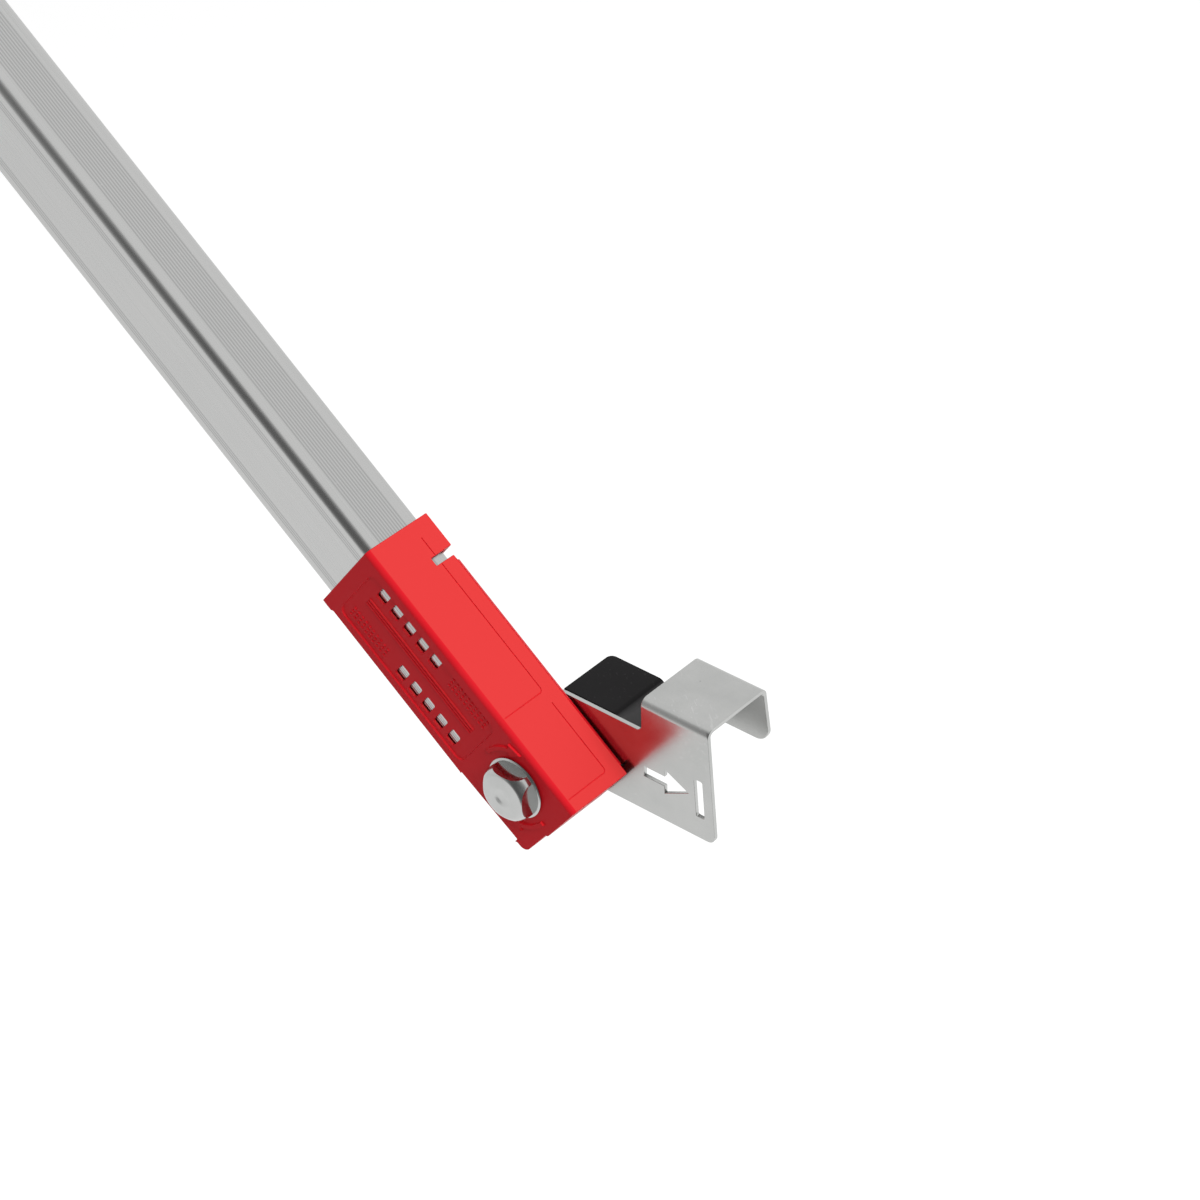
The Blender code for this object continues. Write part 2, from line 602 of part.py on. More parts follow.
def plate_outline():
    """The front plate from the bridge's far corner, round its edges, to the bridge's near corner."""
    low_center = PLATE_FRONT_CORNER - PLATE_BELOW
    outline = [(BRIDGE_END, BEND_HEIGHT)]
    corner_x = BRIDGE_END + PLATE_FLARE - PLATE_FRONT_CORNER
    outline += arc(corner_x, low_center, PLATE_FRONT_CORNER, math.degrees(math.atan(PLATE_LEAN)), -90)
    low_corner = (PLATE_LOW_CORNER - PLATE_BEHIND, PLATE_LOW_CORNER - PLATE_BELOW)
    top_corner = (PLATE_TOP_CORNER - PLATE_BEHIND, PLATE_ABOVE - PLATE_TOP_CORNER)
    outline += arc(*low_corner, PLATE_LOW_CORNER, -90, -180)
    outline += arc(*top_corner, PLATE_TOP_CORNER, 180, 90, 2 * CORNER_STEPS)
    outline += arc(BRIDGE_START - STEP_FILLET, PLATE_ABOVE + STEP_FILLET, STEP_FILLET, -90, 0)
    outline += [(BRIDGE_START, BEND_HEIGHT)]
    return outline


def slot_edge(height):
    """How far out the slot's outer edge is at a height; it runs parallel to the plate's leaning edge."""
    return BRIDGE_END + PLATE_LEAN * (BEND_HEIGHT - height) - SLOT_FROM_EDGE


def flange_outline():
    """The back flange from the bridge's near corner, round its edges, to the bridge's far corner."""
    low = BRIDGE_HEIGHT - FLANGE_DROP + FLANGE_CORNER
    outline = [(BRIDGE_START, BEND_HEIGHT)]
    outline += arc(BRIDGE_START + FLANGE_CORNER, low, FLANGE_CORNER, 180, 270)
    outline += arc(BRIDGE_END + FLANGE_FLARE - FLANGE_CORNER, low, FLANGE_CORNER, -90, 0)
    outline += [(BRIDGE_END, BEND_HEIGHT)]
    return outline


def bend_stations():
    """Outer and inner points of the sheet across the bridge, from the front plate to the back flange."""
    stations = []
    for center, start in ((PLATE_FRONT + BEND_OUTER, 180.0), (FLANGE_BACK - BEND_OUTER, 90.0)):
        outer = arc(center, BEND_HEIGHT, BEND_OUTER, start, start - 90.0, BEND_STEPS)
        inner = arc(center, BEND_HEIGHT, BEND_INNER, start, start - 90.0, BEND_STEPS)
        stations += list(zip(outer, inner))
    return stations


def hook_bracket(end_name, hook, hand):
    """The pressed hook: front plate, bridge and back flange of one sheet, folded over two bends."""
    bm = bmesh.new()
    skins = []
    for skin in (0, 1):
        front = (PLATE_FRONT, PLATE_BACK)[skin]
        back = (FLANGE_BACK, FLANGE_BACK - SHEET)[skin]
        plate = [bm.verts.new((hand * x, front, z)) for x, z in plate_outline()]
        flange = [bm.verts.new((hand * x, back, z)) for x, z in flange_outline()]
        near = [plate[-1]]
        far = [plate[0]]
        for station in bend_stations()[1:-1]:
            depth, height = station[skin]
            near.append(bm.verts.new((hand * BRIDGE_START, depth, height)))
            far.append(bm.verts.new((hand * BRIDGE_END, depth, height)))
        near.append(flange[0])
        far.append(flange[-1])
        bm.faces.new(plate)
        bm.faces.new(flange)
        for here in range(len(near) - 1):
            bm.faces.new((near[here], near[here + 1], far[here + 1], far[here]))
        skins.append(plate + near[1:-1] + flange + far[-2:0:-1])
    outer, inner = skins
    for here in range(len(outer)):
        bm.faces.new((outer[here - 1], outer[here], inner[here], inner[here - 1]))
    bracket = make_object(f"{end_name}_hook_bracket", bm, ZINC_STEEL, hook)

    holes = bmesh.new()
    front = PLATE_FRONT - OVERCUT
    back = PLATE_BACK + OVERCUT
    bolt_hole(holes, BUSH_HOLE_RADIUS, front, back)
    slot = [(slot_edge(SLOT_BOTTOM) - SLOT_WIDTH, SLOT_BOTTOM), (slot_edge(SLOT_BOTTOM), SLOT_BOTTOM)]
    slot += [(slot_edge(SLOT_TOP), SLOT_TOP), (slot_edge(SLOT_TOP) - SLOT_WIDTH, SLOT_TOP)]
    add_prism(holes, [(hand * x, z) for x, z in slot], front, back)
    tip = slot_edge(ARROW_HEIGHT) - SLOT_WIDTH - ARROW_TO_SLOT
    neck = tip - ARROW_HEAD_LENGTH
    start = neck - ARROW_SHAFT_LENGTH
    arrow = [(start, -ARROW_SHAFT_HALF), (neck, -ARROW_SHAFT_HALF), (neck, -ARROW_HEAD_HALF), (tip, 0.0)]
    arrow += [(neck, ARROW_HEAD_HALF), (neck, ARROW_SHAFT_HALF), (start, ARROW_SHAFT_HALF)]
    add_prism(holes, [(hand * x, ARROW_HEIGHT + z) for x, z in arrow], front, back)
    shape(bracket, holes)


def nut_shroud(end_name, hook, hand):
    """The moulded shroud: a web behind the plate, a shelf and a cheek by the nut, and the nut's pocket."""
    low = WEB_MARGIN - PLATE_BELOW
    behind = WEB_MARGIN - PLATE_BEHIND
    outer_center = (SHROUD_REACH - SHROUD_EDGE_ROUND, PLATE_ABOVE - SHROUD_EDGE_ROUND)
    outline = arc(*outer_center, SHROUD_EDGE_ROUND, 90, 0)
    outline += [(SHROUD_REACH, low)]
    corner = PLATE_LOW_CORNER - WEB_MARGIN
    outline += arc(behind + corner, low + corner, corner, -90, -180)
    outline += [(behind, WEB_SHOULDER + behind + SHELF_BEHIND), (-SHELF_BEHIND, WEB_SHOULDER)]
    outline += [(-SHELF_BEHIND, PLATE_ABOVE)]
    bm = bmesh.new()
    add_prism(bm, [(hand * x, z) for x, z in outline], WEB_FRONT, SHROUD_BACK)
    shroud = make_object(f"{end_name}_nut_shroud", bm, BLACK_PLASTIC, hook)

    hollow = bmesh.new()
    inside = arc(*outer_center, SHROUD_EDGE_ROUND - SHROUD_WALL, 90, 0)
    inside += [(SHROUD_REACH - SHROUD_WALL, low - OVERCUT), (behind - OVERCUT, low - OVERCUT)]
    inside += [(behind - OVERCUT, PLATE_ABOVE - SHROUD_WALL)]
    add_prism(hollow, [(hand * x, z) for x, z in inside], WEB_BACK, SHROUD_BACK + OVERCUT)
    shape(shroud, hollow)

    cheek = bmesh.new()
    foot = WEB_BACK + CHEEK_FOOT_DEPTH
    shelf_low = PLATE_ABOVE - SHROUD_EDGE_ROUND
    slope = [(foot, low - OVERCUT), (foot, -CHEEK_BELOW), (SHROUD_BACK, shelf_low)]
    slope += [(SHROUD_BACK + OVERCUT, shelf_low), (SHROUD_BACK + OVERCUT, low - OVERCUT)]
    add_cross_prism(cheek, slope, hand * (-SHELF_BEHIND - OVERCUT), hand * (SHROUD_REACH + OVERCUT))
    shape(shroud, cheek)

    rounding = bmesh.new()
    center = (SHELF_CORNER - SHELF_BEHIND, SHROUD_BACK - SHELF_CORNER)
    quarter = arc(*center, SHELF_CORNER, 180, 90, 2 * CORNER_STEPS)
    quarter += [(center[0], SHROUD_BACK + OVERCUT), (-SHELF_BEHIND - OVERCUT, SHROUD_BACK + OVERCUT)]
    quarter += [(-SHELF_BEHIND - OVERCUT, center[1])]
    under = PLATE_ABOVE - SHROUD_WALL - OVERCUT
    over = PLATE_ABOVE + OVERCUT
    add_loft(rounding, [(hand * x, depth, under) for x, depth in quarter],
             [(hand * x, depth, over) for x, depth in quarter])
    shape(shroud, rounding)

    pocket = bmesh.new()
    pocket_flats = NUT_ACROSS_FLATS + 2 * PIVOT_PLAY
    wall_flats = pocket_flats + 2 * POCKET_WALL
    root = WEB_BACK - WEB_THICKNESS / 2
    add_flats_ring(pocket, 6, pocket_flats, wall_flats, root, WEB_BACK + POCKET_HEIGHT)
    shape(shroud, pocket, "UNION")

    hole = bmesh.new()
    bolt_hole(hole, BUSH_HOLE_RADIUS, WEB_FRONT - OVERCUT, WEB_BACK + OVERCUT)
    shape(shroud, hole)


def strut_end(end_name, place, turn, hand):
    """One end of the strut: what sits on the tube, the bolt, and the hook with what is clamped to it."""
    arm = pivot_empty(f"{end_name}_arm_pivot", place, turn)
    hook = pivot_empty(f"{end_name}_hook_pivot", place, 0.0)
    sleeve(end_name, arm)
    pivot_bolt(end_name, hook)
    spacer_front = TUBE_FRONT + TUBE_WALL + SEAT_GAP
    spacer_back = TUBE_BACK - TUBE_WALL - SEAT_GAP
    spacer_radius = BORE_RADIUS + SPACER_WALL
    ring(f"{end_name}_spacer_bush", BORE_RADIUS, spacer_radius, spacer_front, spacer_back, ZINC_STEEL, arm)
    thrust_back = THRUST_FRONT + THRUST_WASHER_THICKNESS
    thrust_radius = TUBE_WIDTH / 2 - PIVOT_OFFSET - THRUST_WASHER_MARGIN
    thrust_name = f"{end_name}_thrust_washer"
    ring(thrust_name, BORE_RADIUS, thrust_radius, THRUST_FRONT, thrust_back, WHITE_PLASTIC, arm)
    hook_bracket(end_name, hook, hand)
    nut_shroud(end_name, hook, hand)
    bush_name = f"{end_name}_pivot_bush"
    ring(bush_name, BORE_RADIUS, PIVOT_BUSH_RADIUS, PLATE_FRONT, WEB_BACK, WHITE_PLASTIC, hook)
    washer_back = NUT_WASHER_FRONT + NUT_WASHER_THICKNESS
    washer_radius = NUT_WASHER_DIAMETER / 2
    washer_name = f"{end_name}_nut_washer"
    ring(washer_name, BORE_RADIUS, washer_radius, NUT_WASHER_FRONT, washer_back, ZINC_STEEL, hook)
    lock_nut(end_name, hook)
    return arm


def main():
    for old in list(bpy.data.objects):
        bpy.data.objects.remove(old, do_unlink=True)
    lower_arm = strut_end("lower", LOWER_PIVOT, STRUT_SLOPE, 1)
    strut_end("upper", UPPER_PIVOT, STRUT_SLOPE + math.pi, -1)
    arm_tube(lower_arm)


main()
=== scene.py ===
"""Looks of the ladder stabilizer: finished meshes, finishes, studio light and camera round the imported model.

Units are metres and +Z is up, in the model's own frame. A piece of the strut's end is made with the pivot at
the origin, X along the strut towards that end and Y from the bolt's head to its nut. A piece of the hook is
made with X along the hook. Each is made once and placed at both ends, the upper hook as a mirror image.
"""

import json
import math

import bmesh
import bpy
from mathutils import Matrix, Vector


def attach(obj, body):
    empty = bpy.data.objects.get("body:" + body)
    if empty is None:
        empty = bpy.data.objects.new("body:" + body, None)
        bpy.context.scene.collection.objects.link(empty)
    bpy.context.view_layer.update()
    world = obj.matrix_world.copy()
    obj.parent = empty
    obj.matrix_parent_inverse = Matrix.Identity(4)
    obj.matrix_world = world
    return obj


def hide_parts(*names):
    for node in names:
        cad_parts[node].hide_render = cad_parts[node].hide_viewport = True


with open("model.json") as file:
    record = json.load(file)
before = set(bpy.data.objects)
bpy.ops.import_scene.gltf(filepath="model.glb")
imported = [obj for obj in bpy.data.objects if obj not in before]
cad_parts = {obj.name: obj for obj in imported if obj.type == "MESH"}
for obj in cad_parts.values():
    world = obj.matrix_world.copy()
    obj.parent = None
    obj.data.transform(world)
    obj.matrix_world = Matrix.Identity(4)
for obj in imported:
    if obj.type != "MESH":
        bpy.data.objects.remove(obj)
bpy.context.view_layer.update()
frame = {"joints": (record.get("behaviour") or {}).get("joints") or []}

MM = 0.001

# Fits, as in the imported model
SEAT_GAP = 0.3 * MM
PIVOT_PLAY = 0.3 * MM
PIVOT_OFFSET = 2.0 * MM  # of a pivot from the tube's middle

# Tube
TUBE_WIDTH = 31.6 * MM
TUBE_DEPTH = 24.6 * MM
TUBE_WALL = 1.5 * MM
TUBE_CORNER = 3.0 * MM
TUBE_PAST_PIVOT = 15.4 * MM
TUBE_FINENESS = 0.08 * MM  # between the points of its section
GROOVE_WIDTH = 0.9 * MM
GROOVE_DEPTH = 0.035 * MM
EDGE_GROOVE_PITCH = 1.0 * MM
EDGE_GROOVE_INSET = 4.9 * MM
EDGE_GROOVE_COUNT = 3
BAND_GROOVE_PITCH = 1.11 * MM
BAND_GROOVE_COUNT = 12

# Sleeve
SLEEVE_LENGTH = 105.8 * MM
SLEEVE_PAST_PIVOT = 18.6 * MM
SLEEVE_FRONT_WALL = 1.3 * MM
SLEEVE_SIDE_WALL = 1.55 * MM
SLEEVE_FRONT_ROUND = 2.0 * MM
SLEEVE_EDGE_BREAK = 0.3 * MM
SLEEVE_BACK_RIM = 0.2 * MM
SNAP_LIP_RISE = 1.2 * MM  # of the lips over the tube's back edges
SNAP_LIP_DROP = 0.85 * MM  # of their sloped outer side
SNAP_LIP_REACH = 1.5 * MM
SNAP_LIP_FROM_NOTCH = 2.0 * MM
SNAP_LIP_FROM_END = 3.6 * MM
COLLAR_LENGTH = 13.2 * MM
COLLAR_BACK_WALL = 1.6 * MM
COLLAR_LIP_LENGTH = 5.0 * MM
COLLAR_LIP_HEIGHT = 0.8 * MM
NOTCH_LENGTH = 3.0 * MM
NOTCH_DEPTH = 8.0 * MM
RELIEF_START = 15.3 * MM
RELIEF_END = 12.9 * MM
RELIEF_SHALLOW = 0.7 * MM
RELIEF_DEEP = 2.0 * MM
END_LIP_HEIGHT = 1.2 * MM
END_CORNER = 3.0 * MM
END_CORNER_TUCK = 0.03 * MM
END_STEP = 0.7 * MM
END_STEP_BELOW = 2.0 * MM
PANEL_DEPTH = 0.5 * MM
PANEL_DRAFT = 0.35 * MM
PANEL_CORNER = 3.2 * MM
PANEL_FROM_MOUTH = 6.0 * MM
PANEL_FROM_PIVOT = 17.6 * MM
PANEL_TOP_MARGIN = 5.2 * MM
PANEL_BOTTOM_MARGIN = 3.4 * MM
RIB_COUNT = 3
RIB_WIDTH = 0.7 * MM
RIB_PITCH = 1.3 * MM
RIB_OFFSET = 1.2 * MM
RIB_END_MARGIN = 5.0 * MM
RIB_END_ROUND = 0.98  # of half its width
RIB_TOP = 0.12 * MM  # below the sleeve's front face
WINDOW_COUNT = 5
WINDOW_WIDTH = 4.0 * MM
WINDOW_HEIGHT = 5.6 * MM
WINDOW_CORNER = 0.8 * MM
WINDOW_FLARE = 0.2 * MM
WINDOW_PITCH = 6.6 * MM
WINDOW_OFFSET = 9.2 * MM
WINDOW_ROW_SHIFT = 10.8 * MM
SCORE_RADIUS = 0.24 * MM
SCORE_SINK = 0.14 * MM
SCORE_CORNER = 1.5 * MM
SCORE_FROM_BACK = 6.0 * MM
LONG_SCORE = (81.3 * MM, 18.6 * MM)  # from the pivot towards the mouth, start and end
SHORT_SCORE = (14.0 * MM, -13.9 * MM)
DOT_COLUMNS = 10
DOT_ROWS = 3
DOT_PITCH = 1.9 * MM
DOT_RADIUS = 0.6 * MM
DOT_RISE = 0.42 * MM
DOT_OFFSET = 9.2 * MM
DOT_ROW_SHIFT = 19.5 * MM
TURN_ARROW_RADIUS = 14.4 * MM
TURN_ARROW_WIDTH = 1.8 * MM
TURN_ARROW_RISE = 0.7 * MM
TURN_ARROW_HEAD = 2.5 * MM
TURN_ARROWS = ((115.0, 178.0), (-65.0, -2.0))  # degrees about the bolt, head at the first

# Bolt, nut and rings
BOLT_DIAMETER = 10.0 * MM
BOLT_FLANGE_DIAMETER = 22.0 * MM
BOLT_FLANGE_RIM = 0.6 * MM
BOLT_FLANGE_RISE = 0.2 * MM
HEAD_DIAMETER = 20.4 * MM
HEAD_ACROSS_FLATS = 16.4 * MM
HEAD_CORNER_HEIGHT = 1.5 * MM
HEAD_DOME_HEIGHT = 4.4 * MM
HEAD_CROWN = 0.3 * MM
HEAD_TOP_DIAMETER = 14.4 * MM
HEAD_DIMPLE_DIAMETER = 6.0 * MM
HEAD_DIMPLE_DEPTH = 0.4 * MM
HEAD_DIMPLE_WALL = 0.7 * MM
BOLT_PAST_NUT = 3.0 * MM
BOLT_POINT_CHAMFER = 1.0 * MM
THREAD_PITCH = 1.5 * MM
THREAD_DEPTH = 0.8 * MM
THREAD_LENGTH = 15.0 * MM
SPACER_WALL = 2.6 * MM
THRUST_WASHER_MARGIN = 2.6 * MM
THRUST_WASHER_THICKNESS = 1.5 * MM
PIVOT_BUSH_WALL = 1.4 * MM
NUT_WASHER_DIAMETER = 16.4 * MM
NUT_WASHER_THICKNESS = 2.0 * MM
NUT_ACROSS_FLATS = 17.0 * MM
NUT_HEX_HEIGHT = 7.4 * MM
NUT_COLLAR_HEIGHT = 3.0 * MM
NUT_COLLAR_WALL = 0.9 * MM
NUT_LIP_THICKNESS = 0.6 * MM
INSERT_WALL = 1.1 * MM
INSERT_LIP = 0.5 * MM
RING_ROUND = 0.2 * MM

# Hook bracket
SHEET = 1.5 * MM
SHEET_EDGE = 0.18 * MM  # radius of its broken edges
BEND_INNER = 1.5 * MM
PLATE_BEHIND = 14.0 * MM
PLATE_BELOW = 12.3 * MM
PLATE_ABOVE = 19.3 * MM
PLATE_FLARE = 2.7 * MM
PLATE_LOW_CORNER = 7.0 * MM
PLATE_TOP_CORNER = 11.5 * MM
PLATE_FRONT_CORNER = 3.0 * MM
STEP_FILLET = 2.0 * MM
BRIDGE_START = 28.7 * MM
BRIDGE_LENGTH = 26.9 * MM
BRIDGE_HEIGHT = 31.8 * MM
HOOK_CLEAR_DEPTH = 26.8 * MM
FLANGE_DROP = 21.0 * MM
FLANGE_FLARE = 1.8 * MM
FLANGE_CORNER = 5.0 * MM
ARROW_SHAFT_LENGTH = 8.4 * MM
ARROW_HEAD_LENGTH = 9.6 * MM
ARROW_TO_SLOT = 2.7 * MM
ARROW_HEIGHT = 3.6 * MM
ARROW_SHAFT_HALF = 1.9 * MM
ARROW_HEAD_HALF = 4.8 * MM
SLOT_WIDTH = 3.3 * MM
SLOT_TOP = 10.6 * MM
SLOT_BOTTOM = -3.8 * MM
SLOT_FROM_EDGE = 3.6 * MM
SLOT_CORNER = 0.6 * MM

# Nut shroud
WEB_THICKNESS = 2.5 * MM
WEB_MARGIN = 0.6 * MM
WEB_SHOULDER = 13.0 * MM
SHROUD_DEPTH = 23.6 * MM
SHROUD_WALL = 2.0 * MM
SHELF_BEHIND = 5.0 * MM
SHROUD_REACH = 18.3 * MM
SHROUD_EDGE_ROUND = 3.0 * MM
SHROUD_EDGE_BREAK = 0.35 * MM
SHELF_CORNER = 2.5 * MM
CHEEK_BELOW = 10.2 * MM
CHEEK_FOOT_DEPTH = 7.0 * MM
POCKET_WALL = 1.0 * MM
POCKET_HEIGHT = 6.0 * MM

# Facets
TURN_STEPS = 96
DOME_STEPS = 20
CORNER_STEPS = 10
BEND_STEPS = 14
ROUND_STEPS = 3
RIDGE_STEPS = 5
EDGE_STEPS = 2
CROWN_STEPS = 6
DOT_STEPS = 10
DOT_RISE_STEPS = 4
RIB_END_STEPS = 6
TUBE_CORNER_COUNT = 12
BORE_CORNER_COUNT = 5
SCORE_CORNER_COUNT = 6
SCORE_SIDES = 10
THREAD_TURN_STEPS = 48
THREAD_SIDES = 6
SHARP_ANGLE = math.radians(38.0)
FLAT_ANGLE = math.radians(1.0)
OVERCUT = 2.0 * MM
MERGE = 0.001 * MM

# Depths along the pivot axis, from the sleeve's front face
TUBE_FRONT = SLEEVE_FRONT_WALL + SEAT_GAP
TUBE_BACK = TUBE_FRONT + TUBE_DEPTH
SLEEVE_BACK = TUBE_BACK + SLEEVE_BACK_RIM
COLLAR_BACK = TUBE_BACK + SEAT_GAP + COLLAR_BACK_WALL
THRUST_FRONT = TUBE_BACK + SEAT_GAP
PLATE_FRONT = THRUST_FRONT + THRUST_WASHER_THICKNESS + SEAT_GAP
PLATE_BACK = PLATE_FRONT + SHEET
WEB_FRONT = PLATE_BACK + SEAT_GAP
WEB_BACK = WEB_FRONT + WEB_THICKNESS
NUT_WASHER_FRONT = WEB_BACK + SEAT_GAP
NUT_FRONT = NUT_WASHER_FRONT + NUT_WASHER_THICKNESS + SEAT_GAP
NUT_COLLAR_FRONT = NUT_FRONT + NUT_HEX_HEIGHT
NUT_BACK = NUT_COLLAR_FRONT + NUT_COLLAR_HEIGHT
BOLT_END = NUT_BACK + BOLT_PAST_NUT
FLANGE_BACK = PLATE_BACK + HOOK_CLEAR_DEPTH + SHEET
SHROUD_BACK = WEB_FRONT + SHROUD_DEPTH

# Radii and halves that pieces share
BOLT_RADIUS = BOLT_DIAMETER / 2
BORE_RADIUS = BOLT_RADIUS + PIVOT_PLAY
PIVOT_BUSH_RADIUS = BORE_RADIUS + PIVOT_BUSH_WALL
BUSH_HOLE_RADIUS = PIVOT_BUSH_RADIUS + PIVOT_PLAY
BEND_OUTER = BEND_INNER + SHEET
BEND_HEIGHT = BRIDGE_HEIGHT - BEND_OUTER
BRIDGE_END = BRIDGE_START + BRIDGE_LENGTH
PLATE_LEAN = PLATE_FLARE / (BEND_HEIGHT + PLATE_BELOW)
CAVITY_HALF = TUBE_WIDTH / 2 + SEAT_GAP
SLEEVE_HALF = CAVITY_HALF + SLEEVE_SIDE_WALL
SLEEVE_MOUTH = SLEEVE_PAST_PIVOT - SLEEVE_LENGTH
COLLAR_END = SLEEVE_MOUTH + COLLAR_LENGTH
PANEL_START = SLEEVE_MOUTH + PANEL_FROM_MOUTH
PANEL_END = -PANEL_FROM_PIVOT
PANEL_MIDDLE = (PANEL_START + PANEL_END) / 2

# The blank's developed length, from the pivot's height up over the two bends
BEND_RUN = math.pi / 2 * (BEND_INNER + SHEET / 2)
BRIDGE_RUN = FLANGE_BACK - PLATE_FRONT - 2 * BEND_OUTER
FIRST_BEND = BEND_HEIGHT
BRIDGE_FLAT = FIRST_BEND + BEND_RUN
SECOND_BEND = BRIDGE_FLAT + BRIDGE_RUN
FLANGE_FLAT = SECOND_BEND + BEND_RUN

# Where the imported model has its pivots
JOINTS = {joint["name"]: joint for joint in frame["joints"]}
LOWER_PIVOT = Vector(JOINTS["lower_swing"]["pos_m"])
UPPER_PIVOT = Vector(JOINTS["upper_swing"]["pos_m"])
PIVOT_LINE = UPPER_PIVOT - LOWER_PIVOT
STRUT_SPAN = math.sqrt(PIVOT_LINE.length_squared - (2 * PIVOT_OFFSET) ** 2)
STRUT_SLOPE = math.atan2(PIVOT_LINE.z, -PIVOT_LINE.x) + math.atan2(2 * PIVOT_OFFSET, STRUT_SPAN)

ARM_PLACES = {
    "lower": Matrix.Translation(LOWER_PIVOT) @ Matrix.Rotation(STRUT_SLOPE, 4, "Y"),
    "upper": Matrix.Translation(UPPER_PIVOT) @ Matrix.Rotation(STRUT_SLOPE + math.pi, 4, "Y"),
}
BOLT_PLACES = {"lower": Matrix.Translation(LOWER_PIVOT), "upper": Matrix.Translation(UPPER_PIVOT)}
HOOK_PLACES = {
    "lower": BOLT_PLACES["lower"],
    "upper": BOLT_PLACES["upper"] @ Matrix.Diagonal((-1.0, 1.0, 1.0, 1.0)),
}
ON_STRUT = (ARM_PLACES, "strut")
ON_BOLT = (BOLT_PLACES, "{end}_bolt")
ON_HOOK = (HOOK_PLACES, "{end}_hook")


# Outlines in X and Z, and rings of them

def arc(center_x, center_z, radius, start_deg, end_deg, steps=CORNER_STEPS):
    """Points of an arc, ends included."""
    points = []
    for step in range(steps + 1):
        angle = math.radians(start_deg + (end_deg - start_deg) * step / steps)
        points.append((center_x + radius * math.cos(angle), center_z + radius * math.sin(angle)))
    return points


def round_rectangle(low_x, high_x, low_z, high_z, corner, steps=5):
    """A rectangle with round corners, anticlockwise."""
    left, right = low_x + corner, high_x - corner
    low, high = low_z + corner, high_z - corner
    outline = []
    for turn, center in enumerate(((right, high), (left, high), (left, low), (right, low))):
        outline += arc(*center, corner, 90 * turn, 90 * turn + 90, steps)
    return outline


def regular_polygon(sides, across_flats):
    """A polygon with a flat at the bottom."""
    corner_radius = across_flats / 2 / math.cos(math.pi / sides)
    first = 180.0 / sides - 90.0
    return arc(0.0, 0.0, corner_radius, first, first + 360.0 - 360.0 / sides, sides - 1)


def signed_area(outline):
    """Twice the area, positive for an anticlockwise outline."""
    total = 0.0
    for here in range(len(outline)):
        total += outline[here - 1][0] * outline[here][1] - outline[here][0] * outline[here - 1][1]
    return total


def inset(outline, distance):
    """An outline moved inwards by a distance, with its corners kept."""
    hand = math.copysign(1.0, signed_area(outline))
    points = [Vector(point) for point in outline]
    shifted = []
    for here in range(len(points)):
        before = (points[here] - points[here - 1]).normalized()
        after = (points[(here + 1) % len(points)] - points[here]).normalized()
        first = Vector((-before.y, before.x)) * hand
        second = Vector((-after.y, after.x)) * hand
        shift = (first + second) / (1.0 + first.dot(second))
        shifted.append(tuple(points[here] + shift * distance))
    return shifted


def quarter(steps):
    """Cosine and sine at even steps of a quarter turn, ends included."""
    angles = [math.pi / 2 * step / steps for step in range(steps + 1)]
    return [(math.cos(angle), math.sin(angle)) for angle in angles]


def levelled(outline, levels):
    """Rings of an outline, each at a depth and moved inwards."""
    return [[(x, depth, z) for x, z in inset(outline, inwards)] for depth, inwards in levels]


# Meshes

def join_loops(bm, near, far):
    """Faces between two loops of points."""
    for here in range(len(near)):
        bm.faces.new((near[here - 1], near[here], far[here], far[here - 1]))


def loft(rings):
    """A mesh of rings of equal length joined in order, with both ends closed."""
    bm = bmesh.new()
    loops = [[bm.verts.new(point) for point in ring] for ring in rings]
    bm.faces.new(loops[0])
    bm.faces.new(loops[-1][::-1])
    for near, far in zip(loops, loops[1:]):
        join_loops(bm, near, far)
    return bm


def prism(outline, front, back):
    """An outline pulled along Y."""
    return loft(levelled(outline, ((front, 0.0), (back, 0.0))))


def side_prism(outline, start, end):
    """An outline in depth and Z, pulled along X."""
    return loft([[(x, depth, z) for depth, z in outline] for x in (start, end)])


def turned(profile, steps=TURN_STEPS):
    """A closed profile of (radius, depth) turned about Y; a radius of 0 lies on the axis."""
    bm = bmesh.new()
    turns = [2 * math.pi * step / steps for step in range(steps)]
    rings = []
    for radius, depth in profile:
        around = [(radius * math.cos(turn), depth, radius * math.sin(turn)) for turn in turns]
        rings.append([bm.verts.new(point) for point in (around if radius else around[:1])])
    for here, ring in enumerate(rings):
        other = rings[(here + 1) % len(rings)]
        if len(ring) == 1 and len(other) == 1:
            continue
        for step in range(steps):
            after = (step + 1) % steps
            corners = [ring[step % len(ring)], ring[after % len(ring)]]
            corners += [other[after % len(other)], other[step % len(other)]]
            bm.faces.new(list(dict.fromkeys(corners)))
    return bm


def bore(radius, front, back):
    """A round cutter on the pivot axis."""
    return turned([(0.0, front), (radius, front), (radius, back), (0.0, back)])


def flats_ring(sides, across_flats, outer_across_flats, front, back):
    """A prism with flat sides and a hole to match."""
    bm = bmesh.new()
    loops = []
    for across in (outer_across_flats, across_flats):
        for depth in (front, back):
            loops.append([bm.verts.new((x, depth, z)) for x, z in regular_polygon(sides, across)])
    outer_near, outer_far, hole_near, hole_far = loops
    around = (outer_near, outer_far, hole_far, hole_near)
    for here in range(len(around)):
        join_loops(bm, around[here - 1], around[here])
    return bm


def box(low, high):
    """A closed box between two corners."""
    (left, front, bottom), (right, back, top) = low, high
    return side_prism(((front, bottom), (back, bottom), (back, top), (front, top)), left, right)


def moved(bm, shift):
    """A mesh moved by a shift."""
    bmesh.ops.translate(bm, verts=bm.verts, vec=shift)
    return bm


def linked(name, data):
    """A new object in the scene."""
    made = bpy.data.objects.new(name, data)
    bpy.context.scene.collection.objects.link(made)
    return made


